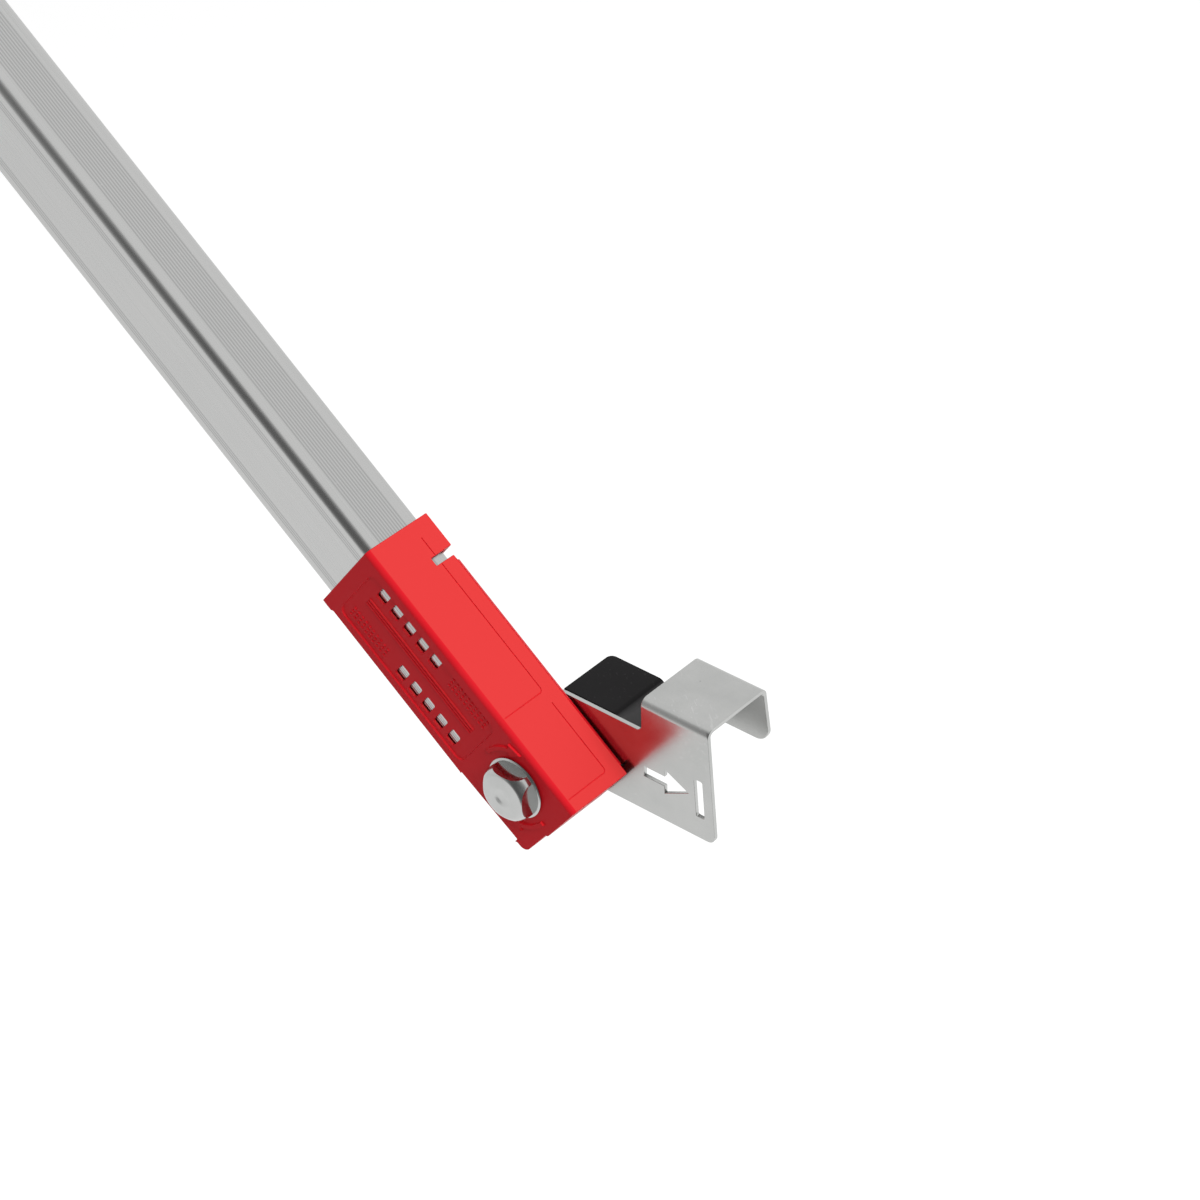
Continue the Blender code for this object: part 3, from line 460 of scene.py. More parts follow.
def new_object(name, bm):
    """An object at the origin from a closed mesh, with its faces turned outwards."""
    bmesh.ops.recalc_face_normals(bm, faces=bm.faces)
    if bm.calc_volume(signed=True) < 0.0:
        bmesh.ops.reverse_faces(bm, faces=bm.faces)
    mesh = bpy.data.meshes.new(name)
    bm.to_mesh(mesh)
    bm.free()
    return linked(name, mesh)


def settle(made):
    """Turns an object with its modifiers into a plain mesh."""
    depsgraph = bpy.context.evaluated_depsgraph_get()
    mesh = bpy.data.meshes.new_from_object(made.evaluated_get(depsgraph), depsgraph=depsgraph)
    old = made.data
    made.modifiers.clear()
    made.data = mesh
    bpy.data.meshes.remove(old)
    return made


def drop(made):
    """Removes an object that was only a tool."""
    mesh = made.data
    bpy.data.objects.remove(made)
    bpy.data.meshes.remove(mesh)


def shape(made, tool, operation="DIFFERENCE"):
    """Cuts a tool out of an object, or joins it on, and removes the tool."""
    if isinstance(tool, bmesh.types.BMesh):
        tool = new_object("tool", tool)
    step = made.modifiers.new("shape", "BOOLEAN")
    step.object = tool
    step.operation = operation
    step.solver = "EXACT"
    settle(made)
    drop(tool)


def break_edges(made, width, segments, chosen=None):
    """Rounds an object's sharp edges, or those of them that are chosen by their two ends."""
    bm = bmesh.new()
    bm.from_mesh(made.data)
    bmesh.ops.remove_doubles(bm, verts=bm.verts, dist=MERGE)
    bmesh.ops.dissolve_limit(bm, angle_limit=FLAT_ANGLE, verts=bm.verts, edges=bm.edges)
    edges = [edge for edge in bm.edges if edge.is_manifold and edge.calc_face_angle() > SHARP_ANGLE]
    if chosen:
        edges = [edge for edge in edges if chosen(edge.verts[0].co, edge.verts[1].co)]
    bmesh.ops.bevel(bm, geom=edges, offset=width, segments=segments, profile=0.5, affect="EDGES",
                    clamp_overlap=False, miter_outer="ARC")
    bm.to_mesh(made.data)
    bm.free()


def shade(made):
    """Merges stray points and gives an object smooth round parts and flat flats."""
    bm = bmesh.new()
    bm.from_mesh(made.data)
    bmesh.ops.remove_doubles(bm, verts=bm.verts, dist=MERGE)
    bm.to_mesh(made.data)
    bm.free()
    made.data.shade_smooth()
    made.data.set_sharp_from_angle(angle=SHARP_ANGLE)
    weighted = made.modifiers.new("weighted", "WEIGHTED_NORMAL")
    weighted.keep_sharp = True
    return settle(made)


# Node trees

class Signal:
    """A node's output, on which sums, products and comparisons put Math nodes."""

    def __init__(self, tree, socket):
        self.tree = tree
        self.socket = socket

    def out(self, key):
        """Another output of the same node."""
        return Signal(self.tree, self.socket.node.outputs[key])

    def calc(self, operation, *others):
        """A Math node's result."""
        return node(self.tree, "ShaderNodeMath", dict(enumerate((self, *others))), operation=operation)

    def __add__(self, other):
        return self.calc("ADD", other)

    def __sub__(self, other):
        return self.calc("SUBTRACT", other)

    def __rsub__(self, other):
        return node(self.tree, "ShaderNodeMath", {0: other, 1: self}, operation="SUBTRACT")

    def __mul__(self, other):
        return self.calc("MULTIPLY", other)

    def __truediv__(self, other):
        return self.calc("DIVIDE", other)

    def __gt__(self, other):
        return self.calc("GREATER_THAN", other)

    def __lt__(self, other):
        return self.calc("LESS_THAN", other)


def fill(made, inputs):
    """Links a node's inputs, named or counted, or gives them a value."""
    for name, value in inputs.items():
        if isinstance(value, Signal):
            value.tree.links.new(value.socket, made.inputs[name])
        else:
            made.inputs[name].default_value = value


def node(tree, kind, inputs=None, **settings):
    """A new node with its settings made and its inputs filled, as its first output."""
    made = tree.nodes.new(kind)
    for name, value in settings.items():
        setattr(made, name, value)
    fill(made, inputs or {})
    return Signal(tree, made.outputs[0]) if made.outputs else None


def vector(operation, first, second):
    """A Vector Math node's result."""
    return node(first.tree, "ShaderNodeVectorMath", {0: first, 1: second}, operation=operation)


def growing_tree(name, inputs):
    """A Geometry Nodes tree with named inputs, and the outputs of its Group Input by name."""
    tree = bpy.data.node_groups.new(name, "GeometryNodeTree")
    for label, kind in {"Geometry": "Geometry", **inputs, "Material": "Material"}.items():
        tree.interface.new_socket(label, in_out="INPUT", socket_type=f"NodeSocket{kind}")
    tree.interface.new_socket("Geometry", in_out="OUTPUT", socket_type="NodeSocketGeometry")
    start = tree.nodes.new("NodeGroupInput")
    return tree, {socket.name: Signal(tree, socket) for socket in start.outputs}


def end_tree(tree, given, geometry):
    """Closes a tree: instances made real, material set."""
    real = node(tree, "GeometryNodeRealizeInstances", {"Geometry": geometry})
    painted = node(tree, "GeometryNodeSetMaterial", {"Geometry": real, "Material": given["Material"]})
    node(tree, "NodeGroupOutput", {"Geometry": painted})
    return tree


def grow(name, tree, values, material=None, seed=None):
    """Runs a tree on an object, with its inputs set by identifier, and keeps the plain mesh."""
    made = new_object(name, seed if seed else bmesh.new())
    growth = made.modifiers.new(name, "NODES")
    growth.node_group = tree
    for socket in tree.interface.items_tree:
        if socket.in_out == "INPUT" and socket.name in values:
            growth[socket.identifier] = values[socket.name]
        if socket.name == "Material" and material:
            growth[socket.identifier] = material
    return settle(made)


def joined(first, second):
    """Two geometries as one."""
    both = node(first.tree, "GeometryNodeJoinGeometry")
    for part in (first, second):
        fill(both.socket.node, {0: part})
    return both


def repeat_tree():
    """Repeats a shape in columns and rows about its own place."""
    tree, given = growing_tree(
        "repeat_shape", {"Columns": "Int", "Rows": "Int", "Column step": "Vector", "Row step": "Vector"})
    index = node(tree, "GeometryNodeInputIndex")
    column = index.calc("MODULO", given["Columns"])
    row = (index / given["Columns"]).calc("FLOOR")
    places = []
    for count, total, step in ((column, "Columns", "Column step"), (row, "Rows", "Row step")):
        scale = {0: given[step], "Scale": count - (given[total] - 1.0) * 0.5}
        places.append(node(tree, "ShaderNodeVectorMath", scale, operation="SCALE"))
    points = node(tree, "GeometryNodePoints",
                  {"Count": given["Columns"] * given["Rows"], "Position": vector("ADD", *places)})
    copies = node(tree, "GeometryNodeInstanceOnPoints", {"Points": points, "Instance": given["Geometry"]})
    return end_tree(tree, given, copies)


def swept(path, radius, sides):
    """A round bar along a curve, with closed ends."""
    profile = node(path.tree, "GeometryNodeCurvePrimitiveCircle", {"Radius": radius, "Resolution": sides})
    return node(path.tree, "GeometryNodeCurveToMesh",
                {"Curve": path, "Profile Curve": profile, "Fill Caps": True})


def filleted(curve, radius, count):
    """A curve with its corners rounded."""
    return node(curve.tree, "GeometryNodeFilletCurve",
                {"Curve": curve, "Radius": radius, "Count": count}, mode="POLY")


def sweep_tree():
    """A round bar along a path of edges, with the path's corners rounded."""
    tree, given = growing_tree("sweep_path", {"Radius": "Float", "Corner": "Float"})
    path = node(tree, "GeometryNodeMeshToCurve", {"Mesh": given["Geometry"]})
    bar = swept(filleted(path, given["Corner"], SCORE_CORNER_COUNT), given["Radius"], SCORE_SIDES)
    return end_tree(tree, given, bar)


def thread_tree():
    """A screw thread's ridge, wound about Z."""
    sizes = ("Radius", "Ridge", "Pitch", "Turns")
    tree, given = growing_tree("screw_thread", {size: "Float" for size in sizes})
    helix = node(tree, "GeometryNodeCurveSpiral",
                 {"Resolution": THREAD_TURN_STEPS, "Rotations": given["Turns"],
                  "Start Radius": given["Radius"], "End Radius": given["Radius"],
                  "Height": given["Pitch"] * given["Turns"]})
    upright = node(tree, "GeometryNodeSetCurveNormal", {"Curve": helix}, mode="Z_UP")
    return end_tree(tree, given, swept(upright, given["Ridge"], THREAD_SIDES))


def tube_tree():
    """The extruded tube along Z: a rounded section with fine grooves in every side, and a bore."""
    sizes = ("Width", "Depth", "Wall", "Corner", "Bore corner", "Length", "Fineness", "Groove width",
             "Groove depth", "Band pitch", "Band count", "Edge pitch", "Edge inset", "Edge count")
    tree, given = growing_tree("extruded_tube", {size: "Float" for size in sizes})

    def section_curve(walls, corner, count):
        """The tube's rounded section, smaller by two walls."""
        frame_curve = node(tree, "GeometryNodeCurvePrimitiveQuadrilateral",
                           {"Width": given["Depth"] - walls, "Height": given["Width"] - walls})
        return filleted(frame_curve, given[corner], count)

    def groove(run, pitch):
        """Depth of the nearest groove of a row at a place along the row."""
        reach = run.calc("PINGPONG", pitch * 0.5) / (given["Groove width"] * 0.5)
        turn = reach.calc("MINIMUM", 1.0) * math.pi
        return (turn.calc("COSINE") + 1.0) * 0.5 * given["Groove depth"]

    fine = node(tree, "GeometryNodeResampleCurve",
                {"Curve": section_curve(0.0, "Corner", TUBE_CORNER_COUNT), "Length": given["Fineness"]},
                mode="LENGTH")
    place = node(tree, "ShaderNodeSeparateXYZ", {"Vector": node(tree, "GeometryNodeInputPosition")})
    across, along = place.out("X"), place.out("Y")
    far_across = across.calc("ABSOLUTE")
    far_along = along.calc("ABSOLUTE")
    half_width = given["Width"] * 0.5

    pitch = given["Band pitch"]
    band_half = pitch * given["Band count"] * 0.5
    band = groove(across + band_half - pitch * 0.5, pitch)
    band = band * (far_across < band_half) * (far_along > half_width - MERGE)

    pitch = given["Edge pitch"]
    from_first = half_width - given["Edge inset"] - far_along
    edge = groove(from_first, pitch) * (from_first > pitch * -0.5)
    edge = edge * (from_first < pitch * given["Edge count"] - pitch * 0.5)
    edge = edge * (far_across > given["Depth"] * 0.5 - MERGE)

    sink = node(tree, "ShaderNodeCombineXYZ",
                {"X": across.calc("SIGN") * edge * -1.0, "Y": along.calc("SIGN") * band * -1.0})
    grooved = node(tree, "GeometryNodeSetPosition", {"Geometry": fine, "Offset": sink})
    inside = section_curve(given["Wall"] * 2.0, "Bore corner", BORE_CORNER_COUNT)
    section = node(tree, "GeometryNodeFillCurve", {"Curve": joined(grooved, inside)}, mode="TRIANGLES")
    pulled = node(tree, "GeometryNodeExtrudeMesh",
                  {"Mesh": section, "Offset": (0.0, 0.0, 1.0), "Offset Scale": given["Length"],
                   "Individual": False}, mode="FACES")
    foot = node(tree, "GeometryNodeFlipFaces", {"Mesh": section})
    closed = node(tree, "GeometryNodeMergeByDistance", {"Geometry": joined(pulled, foot), "Distance": MERGE})
    return end_tree(tree, given, closed)


REPEAT = repeat_tree()
SWEEP = sweep_tree()
THREAD = thread_tree()
TUBE = tube_tree()


def repeated(name, bm, columns, rows, pitch, place):
    """A shape repeated in columns along X and rows along Z about a place."""
    steps = {"Columns": columns, "Column step": (pitch, 0.0, 0.0)}
    steps |= {"Rows": rows, "Row step": (0.0, 0.0, pitch)}
    made = grow(name, REPEAT, steps, seed=bm)
    made.data.transform(Matrix.Translation(place))
    return made


# Finishes

ALONG_TUBE = (0.0, -STRUT_SLOPE, 0.0)  # turns coordinates into the tube's own
SCRATCH_STRETCH = 40
SCRATCH_EDGE = 0.03
PATCH_SCALE = 30.0
SPECK_RIM = 0.05
GROOVE_SHADE = 0.75


def noise(place, scale, detail=2.0, roughness=0.5):
    """A noise value from 0 to 1."""
    return node(place.tree, "ShaderNodeTexNoise",
                {"Vector": place, "Scale": scale, "Detail": detail, "Roughness": roughness})


def span(value, low, high, to_low=0.0, to_high=1.0):
    """A value's span mapped onto another, held at its ends."""
    return node(value.tree, "ShaderNodeMapRange",
                {"Value": value, "From Min": low, "From Max": high, "To Min": to_low, "To Max": to_high})


def mixed(factor, first, second):
    """Two colours mixed by a factor."""
    first, second = (value if isinstance(value, Signal) else (*value, 1.0) for value in (first, second))
    return node(factor.tree, "ShaderNodeMix", {0: factor, 6: first, 7: second}, data_type="RGBA").out(2)


def turned_place(place, turn, scale):
    """Coordinates turned and stretched for a pattern that runs one way."""
    turned_only = node(place.tree, "ShaderNodeMapping", {"Vector": place, "Rotation": turn})
    return node(place.tree, "ShaderNodeMapping", {"Vector": turned_only, "Scale": scale})


def scratches(place, turn, fineness, kept):
    """Thin scratches along X of turned coordinates; kept is the share of the noise that shows."""
    scale = (fineness / SCRATCH_STRETCH, fineness, fineness)
    lines = noise(turned_place(place, turn, scale), 1.0, 1.0)
    cut = 1.0 - kept
    return span(lines, cut, cut + SCRATCH_EDGE) * span(noise(place, PATCH_SCALE), 0.45, 0.6)


def specks(place, scale, inner):
    """Scattered small specks with soft rims."""
    cells = node(place.tree, "ShaderNodeTexVoronoi", {"Vector": place, "Scale": scale})
    return span(cells, inner, SPECK_RIM, 1.0, 0.0)


def finish(name, metallic, specular, paint):
    """A Principled material whose colour, roughness and relief a function paints on Object coordinates."""
    made = bpy.data.materials.new(name)
    made.use_nodes = True
    tree = made.node_tree
    colour, roughness, height, strength, distance = paint(node(tree, "ShaderNodeTexCoord").out("Object"))
    relief = node(tree, "ShaderNodeBump", {"Height": height, "Strength": strength, "Distance": distance})
    fill(tree.nodes["Principled BSDF"],
         {"Metallic": metallic, "Specular IOR Level": specular, "Base Color": colour, "Roughness": roughness,
          "Normal": relief})
    return made


def red_plastic(place):
    """Satin moulded plastic: spark grain, faint flow marks, a few pale scuffs, the upper side painted paler as
    a painted sheen.
    """
    flow = noise(place, 38.0, 3.0)
    colour = mixed(span(flow, 0.3, 0.7), (0.75, 0.012, 0.022), (0.79, 0.018, 0.028))
    # Painted sheen: faces turned to the strut's upper side get a paler, pinker colour that stands in for the
    # light's sheen on them.
    upper_side = (math.sin(STRUT_SLOPE), 0.0, math.cos(STRUT_SLOPE))
    level = vector("DOT_PRODUCT", place.out("Normal"), upper_side).out("Value")
    colour = mixed(span(level, 0.965, 0.998), colour, (0.79, 0.048, 0.048))
    scuff = scratches(place, (0.3, 0.7, 0.2), 900.0, 0.3)
    colour = mixed(scuff * 0.2, colour, (0.80, 0.06, 0.07))
    rough = span(flow, 0.3, 0.7, 0.36, 0.44) + scuff * 0.12
    return colour, rough, noise(place, 2600.0), 0.12, 0.1 * MM


def groove_lines(place):
    """1 in the middle of the tube's grooves and 0 between them, from the same sizes as its section."""
    middle = ARM_PLACES["lower"] @ Vector((0.0, TUBE_FRONT + TUBE_DEPTH / 2, -PIVOT_OFFSET))
    middle_turned = Matrix.Rotation(-STRUT_SLOPE, 4, "Y") @ middle
    local = vector("SUBTRACT", turned_place(place, ALONG_TUBE, (1.0, 1.0, 1.0)), middle_turned)
    parts = node(place.tree, "ShaderNodeSeparateXYZ", {"Vector": local})
    deep = parts.out("Y").calc("ABSOLUTE")
    across = parts.out("Z").calc("ABSOLUTE")
    from_first = TUBE_WIDTH / 2 - EDGE_GROOVE_INSET - across
    band_end = BAND_GROOVE_PITCH * BAND_GROOVE_COUNT / 2
    row_start = -EDGE_GROOVE_PITCH / 2
    row_end = EDGE_GROOVE_PITCH * (EDGE_GROOVE_COUNT - 0.5)
    rows = ((deep, BAND_GROOVE_PITCH, 0.5, -1.0, band_end, across, TUBE_WIDTH / 2 - TUBE_WALL),
            (from_first, EDGE_GROOVE_PITCH, 0.0, row_start, row_end, deep, TUBE_DEPTH / 2 - TUBE_WALL))
    lines = []
    for run, pitch, shift, start, end, out, skin in rows:
        wave = ((run / pitch + shift) * (2 * math.pi)).calc("COSINE")
        shown = (run > start) * (run < end) * (out > skin)
        lines.append(shown * span(wave, -1.0, 1.0))
    return lines[0] + lines[1]


def aluminium(place):
    """Mill-finished extrusion: die lines along the tube, grooves painted darker as painted shade, light
    scratches and pale specks.
    """
    lines = noise(turned_place(place, ALONG_TUBE, (4.0, 1500.0, 1500.0)), 1.0, 3.0, 0.6)
    tone = lines * 0.6 + noise(place, 22.0, 4.0, 0.6) * 0.4
    colour = mixed(span(tone, 0.35, 0.65), (0.5, 0.503, 0.497), (0.543, 0.543, 0.537))
    # Painted shade: the grooves are darkened in the colour, as if shade lay in them.
    colour = mixed(groove_lines(place) * GROOVE_SHADE, colour, (0.33, 0.333, 0.33))
    scratch = scratches(place, (0.5, 0.4, 0.9), 1100.0, 0.24)
    marks = (scratch * 0.1).calc("MAXIMUM", specks(place, 170.0, 0.035) * 0.5)
    colour = mixed(marks, colour, (0.62, 0.62, 0.615))
    rough = span(tone, 0.3, 0.7, 0.24, 0.32) + marks * 0.12
    return colour, rough, lines, 0.04, 0.05 * MM


def zinc_sheet(place):
    """Zinc-plated sheet: cloudy plating, rolling lines, handling scratches and dull specks."""
    cloud = noise(place, 55.0, 5.0, 0.6)
    rolled = noise(turned_place(place, (0.0, 0.0, 0.0), (30.0, 900.0, 900.0)), 1.0)
    tone = cloud * 0.95 + rolled * 0.05
    colour = mixed(span(tone, 0.35, 0.65), (0.445, 0.451, 0.442), (0.495, 0.498, 0.489))
    long_marks = scratches(place, (0.2, 0.5, 0.8), 1300.0, 0.32)
    marks = long_marks.calc("MAXIMUM", scratches(place, (0.9, -0.6, 0.3), 1000.0, 0.31))
    colour = mixed(marks * 0.4, colour, (0.62, 0.623, 0.617))
    colour = mixed(specks(place, 150.0, 0.03) * 0.5, colour, (0.26, 0.263, 0.26))
    rough = span(cloud, 0.3, 0.7, 0.2, 0.25) + marks * 0.03
    return colour, rough, noise(place, 55.0, 1.0), 0.04, 0.1 * MM


def bright_zinc(place):
    """Smooth bright zinc on turned and forged fasteners."""
    cloud = noise(place, 180.0, 4.0, 0.6)
    colour = mixed(span(cloud, 0.3, 0.7), (0.45, 0.456, 0.45), (0.5, 0.506, 0.5))
    marks = scratches(place, (0.4, 0.9, 0.2), 1600.0, 0.34)
    colour = mixed(marks * 0.3, colour, (0.366, 0.372, 0.366))
    rough = span(cloud, 0.3, 0.7, 0.14, 0.22) + marks * 0.1
    return colour, rough, cloud, 0.012, 0.05 * MM


def black_plastic(place):
    """Black moulded plastic: fine grain, side faces painted paler as a painted sheen, and grey handling marks.
    """
    flow = noise(place, 60.0, 3.0)
    colour = mixed(span(flow, 0.3, 0.7), (0.008, 0.0075, 0.008), (0.012, 0.0115, 0.012))
    sideways = node(place.tree, "ShaderNodeSeparateXYZ", {"Vector": place.out("Normal")}).out("X")
    # Painted sheen: faces turned sideways get a paler grey, standing in for light caught on the cheeks.
    colour = mixed(span(sideways.calc("ABSOLUTE"), 0.5, 0.95), colour, (0.085, 0.083, 0.085))
    scuff = scratches(place, (0.1, 0.8, 0.4), 1000.0, 0.32)
    colour = mixed(scuff * 0.3, colour, (0.07, 0.07, 0.07))
    rough = span(flow, 0.3, 0.7, 0.44, 0.52) + scuff * 0.1
    return colour, rough, noise(place, 2200.0), 0.2, 0.1 * MM


def white_nylon(place):
    """Natural nylon: milky, with soft tone changes."""
    cloud = noise(place, 220.0, 3.0)
    colour = mixed(span(cloud, 0.3, 0.7), (0.70, 0.69, 0.63), (0.78, 0.77, 0.72))
    return colour, span(cloud, 0.3, 0.7, 0.42, 0.52), cloud, 0.08, 0.1 * MM


FINISHES = {
    "red_plastic": finish("red_moulded_plastic", 0.0, 0.1, red_plastic),
    "aluminium": finish("extruded_aluminium", 1.0, 0.5, aluminium),
    "zinc_sheet": finish("zinc_plated_sheet", 1.0, 0.5, zinc_sheet),
    "bright_zinc": finish("bright_zinc", 1.0, 0.5, bright_zinc),
    "black_plastic": finish("black_moulded_plastic", 0.0, 0.08, black_plastic),
    "white_nylon": finish("natural_nylon", 0.0, 0.4, white_nylon),
}


# Placing

def hand_over(made, body, finish_name, replaced=()):
    """Gives a placed piece its finish and its body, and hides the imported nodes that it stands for."""
    made.data.materials.clear()
    made.data.materials.append(FINISHES[finish_name])
    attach(made, body)
    if replaced:
        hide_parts(*replaced)


def place_pair(made, places, bodies, finish_name, stem, node_stem=None):
    """Places a piece at both ends of the strut as {end}_{stem}; it stands for the node {end}_{node_stem}."""
    for end, place in places.items():
        mesh = made.data.copy()
        mesh.transform(place)
        if place.determinant() < 0.0:
            mesh.flip_normals()
        replaced = (f"{end}_{node_stem}",) if node_stem else ()
        hand_over(linked(f"{end}_{stem}", mesh), bodies.format(end=end), finish_name, replaced)
    drop(made)


# Tube

def arm_tube():
    """The tube from end to end, drilled for both bolts."""
    length = STRUT_SPAN + 2 * TUBE_PAST_PIVOT
    sizes = {
        "Width": TUBE_WIDTH, "Depth": TUBE_DEPTH, "Wall": TUBE_WALL, "Corner": TUBE_CORNER,
        "Bore corner": TUBE_CORNER - TUBE_WALL, "Length": length, "Fineness": TUBE_FINENESS,
        "Groove width": GROOVE_WIDTH, "Groove depth": GROOVE_DEPTH,
        "Band pitch": BAND_GROOVE_PITCH, "Band count": float(BAND_GROOVE_COUNT),
        "Edge pitch": EDGE_GROOVE_PITCH, "Edge inset": EDGE_GROOVE_INSET,
        "Edge count": float(EDGE_GROOVE_COUNT),
    }
    tube = grow("arm_tube_extrusion", TUBE, sizes, FINISHES["aluminium"])
    start = -STRUT_SPAN - TUBE_PAST_PIVOT
    middle = TUBE_FRONT + TUBE_DEPTH / 2
    lie_down = Matrix(((0, 0, 1, start), (1, 0, 0, middle), (0, 1, 0, -PIVOT_OFFSET), (0, 0, 0, 1)))
    tube.data.transform(lie_down)
    for along, above in ((0.0, 0.0), (-STRUT_SPAN, -2 * PIVOT_OFFSET)):
        hole = bore(BORE_RADIUS, TUBE_FRONT - OVERCUT, TUBE_BACK + OVERCUT)
        shape(tube, moved(hole, (along, 0.0, above)))
    shade(tube)
    tube.data.transform(ARM_PLACES["lower"])
    hand_over(tube, "strut", "aluminium", ("arm_tube",))


# Sleeve

def sleeve_outline():
    """The sleeve's side view, with a lip on the lower side of its collar and a stepped, rounded end."""
    low = -SLEEVE_HALF
    end = SLEEVE_PAST_PIVOT
    drop = RELIEF_DEEP - END_LIP_HEIGHT
    outline = [(SLEEVE_MOUTH, SLEEVE_HALF), (end, SLEEVE_HALF)]
    outline += [(end, -END_STEP_BELOW + END_STEP), (end - END_STEP, -END_STEP_BELOW)]
    center = (end - END_STEP - END_CORNER, low + drop + END_CORNER)
    outline += arc(*center, END_CORNER - END_CORNER_TUCK, 0, -90)
    outline += [(RELIEF_END + drop, low + drop), (RELIEF_END, low)]
    lip_end = SLEEVE_MOUTH + COLLAR_LIP_LENGTH
    outline += [(lip_end, low), (lip_end - COLLAR_LIP_HEIGHT, low - COLLAR_LIP_HEIGHT)]
    outline += [(SLEEVE_MOUTH, low - COLLAR_LIP_HEIGHT)]
    return outline


def cavity_section():
    """The sleeve's inside in depth and Z: the tube's section with clearance, square at the open back."""
    corner = TUBE_CORNER + SEAT_GAP
    back = TUBE_BACK + SEAT_GAP
    section = [(back, -CAVITY_HALF), (back, CAVITY_HALF)]
    section += arc(SLEEVE_FRONT_WALL + corner, CAVITY_HALF - corner, corner, 90, 180)
    section += arc(SLEEVE_FRONT_WALL + corner, corner - CAVITY_HALF, corner, 180, 270)
    return section


def relief_section(along, chamfer):
    """A three-sided section of the cutter that chamfers the sleeve's lower front edge."""
    low = -SLEEVE_HALF
    reach = chamfer + OVERCUT
    section = [(-OVERCUT, low - OVERCUT), (-OVERCUT, low + reach), (reach, low - OVERCUT)]
    return [(along, depth, z) for depth, z in section]


def sleeve_shell():
    """The channel over the tube's end, closed round it at the collar, with its edges rounded."""
    shell = new_object("sleeve", prism(sleeve_outline(), 0.0, COLLAR_BACK))

    def on_front_ridge(first, second):
        return max(first.y, second.y) < MERGE and min(first.z, second.z) > SLEEVE_HALF - MERGE

    break_edges(shell, SLEEVE_FRONT_ROUND, RIDGE_STEPS, on_front_ridge)
    side = SLEEVE_HALF + OVERCUT
    end = SLEEVE_PAST_PIVOT + OVERCUT
    back = COLLAR_BACK + OVERCUT
    opening = CAVITY_HALF - SNAP_LIP_REACH
    notch_end = COLLAR_END + NOTCH_LENGTH
    lip_end = SLEEVE_PAST_PIVOT - SNAP_LIP_FROM_END
    cuts = [side_prism(cavity_section(), SLEEVE_MOUTH - OVERCUT, TUBE_PAST_PIVOT + SEAT_GAP)]
    cuts += [loft([relief_section(-RELIEF_START, RELIEF_SHALLOW), relief_section(RELIEF_END, RELIEF_DEEP)])]
    cuts += [box((COLLAR_END, SLEEVE_BACK + SNAP_LIP_RISE, -side), (end, back, side))]
    cuts += [box((COLLAR_END, SLEEVE_BACK, -opening), (end, back, opening))]
    cuts += [box((COLLAR_END, SLEEVE_BACK, -side), (notch_end + SNAP_LIP_FROM_NOTCH, back, side))]
    cuts += [box((lip_end, SLEEVE_BACK, -side), (end, back, side))]
    lean = SNAP_LIP_DROP / SNAP_LIP_RISE
    slope = [(SLEEVE_BACK - OVERCUT, SLEEVE_HALF + lean * OVERCUT)]
    slope += [(back, SLEEVE_HALF - lean * (back - SLEEVE_BACK)), (back, SLEEVE_HALF + lean * OVERCUT)]
    for hand in (-1.0, 1.0):
        cuts += [side_prism([(depth, hand * z) for depth, z in slope], COLLAR_END, end)]
    notch_low = (COLLAR_END, SLEEVE_BACK - NOTCH_DEPTH, CAVITY_HALF - SEAT_GAP)
    cuts += [box(notch_low, (notch_end, back, side))]
    for cut in cuts:
        shape(shell, cut)
    break_edges(shell, SLEEVE_EDGE_BREAK, EDGE_STEPS)
    return shell


def sunk_panel():
    """A cutter for the panel in the front face, with drafted walls."""
    low_z = PANEL_BOTTOM_MARGIN - SLEEVE_HALF
    high_z = SLEEVE_HALF - PANEL_TOP_MARGIN
    outline = round_rectangle(PANEL_START, PANEL_END, low_z, high_z, PANEL_CORNER, CORNER_STEPS)
    return loft(levelled(outline, ((PANEL_DEPTH, PANEL_DRAFT), (0.0, 0.0), (-OVERCUT, 0.0))))


def panel_ribs():
    """The long ribs in the panel, each a bar with a rounded top and ends."""
    reach = (PANEL_END - PANEL_START) / 2 - RIB_END_MARGIN
    half = RIB_WIDTH / 2
    outline = round_rectangle(-reach, reach, -half, half, half * RIB_END_ROUND, RIB_END_STEPS)
    floor = PANEL_DEPTH + SLEEVE_FRONT_WALL / 4
    rib = loft(levelled(outline, ((floor, 0.0), (RIB_TOP + half / 2, 0.0), (RIB_TOP, half / 2))))
    return repeated("ribs", rib, 1, RIB_COUNT, RIB_PITCH, (PANEL_MIDDLE, 0.0, RIB_OFFSET))


def panel_windows(row):
    """A cutter for one row of openings, each flared where it meets the panel."""
    half_width = WINDOW_WIDTH / 2
    half_height = WINDOW_HEIGHT / 2
    outline = round_rectangle(-half_width, half_width, -half_height, half_height, WINDOW_CORNER)
    levels = ((SLEEVE_FRONT_WALL + OVERCUT, 0.0), (PANEL_DEPTH + WINDOW_FLARE, 0.0),
              (PANEL_DEPTH, -WINDOW_FLARE), (-OVERCUT, -WINDOW_FLARE))
    place = (PANEL_MIDDLE - row * WINDOW_ROW_SHIFT, 0.0, row * WINDOW_OFFSET)
    return repeated("windows", loft(levelled(outline, levels)), WINDOW_COUNT, 1, WINDOW_PITCH, place)


def score_line(start, end):
    """A cutter for a fine line in the upper side: along the strut, round a corner and to the front edge."""
    back = SLEEVE_BACK - SCORE_FROM_BACK
    path = bmesh.new()
    points = [(-start, back), (-end, back), (-end, SLEEVE_FRONT_ROUND)]
    verts = [path.verts.new((x, depth, SLEEVE_HALF - SCORE_SINK)) for x, depth in points]
    for ends in zip(verts, verts[1:]):
        path.edges.new(ends)
    return grow("score", SWEEP, {"Radius": SCORE_RADIUS, "Corner": SCORE_CORNER}, seed=path)


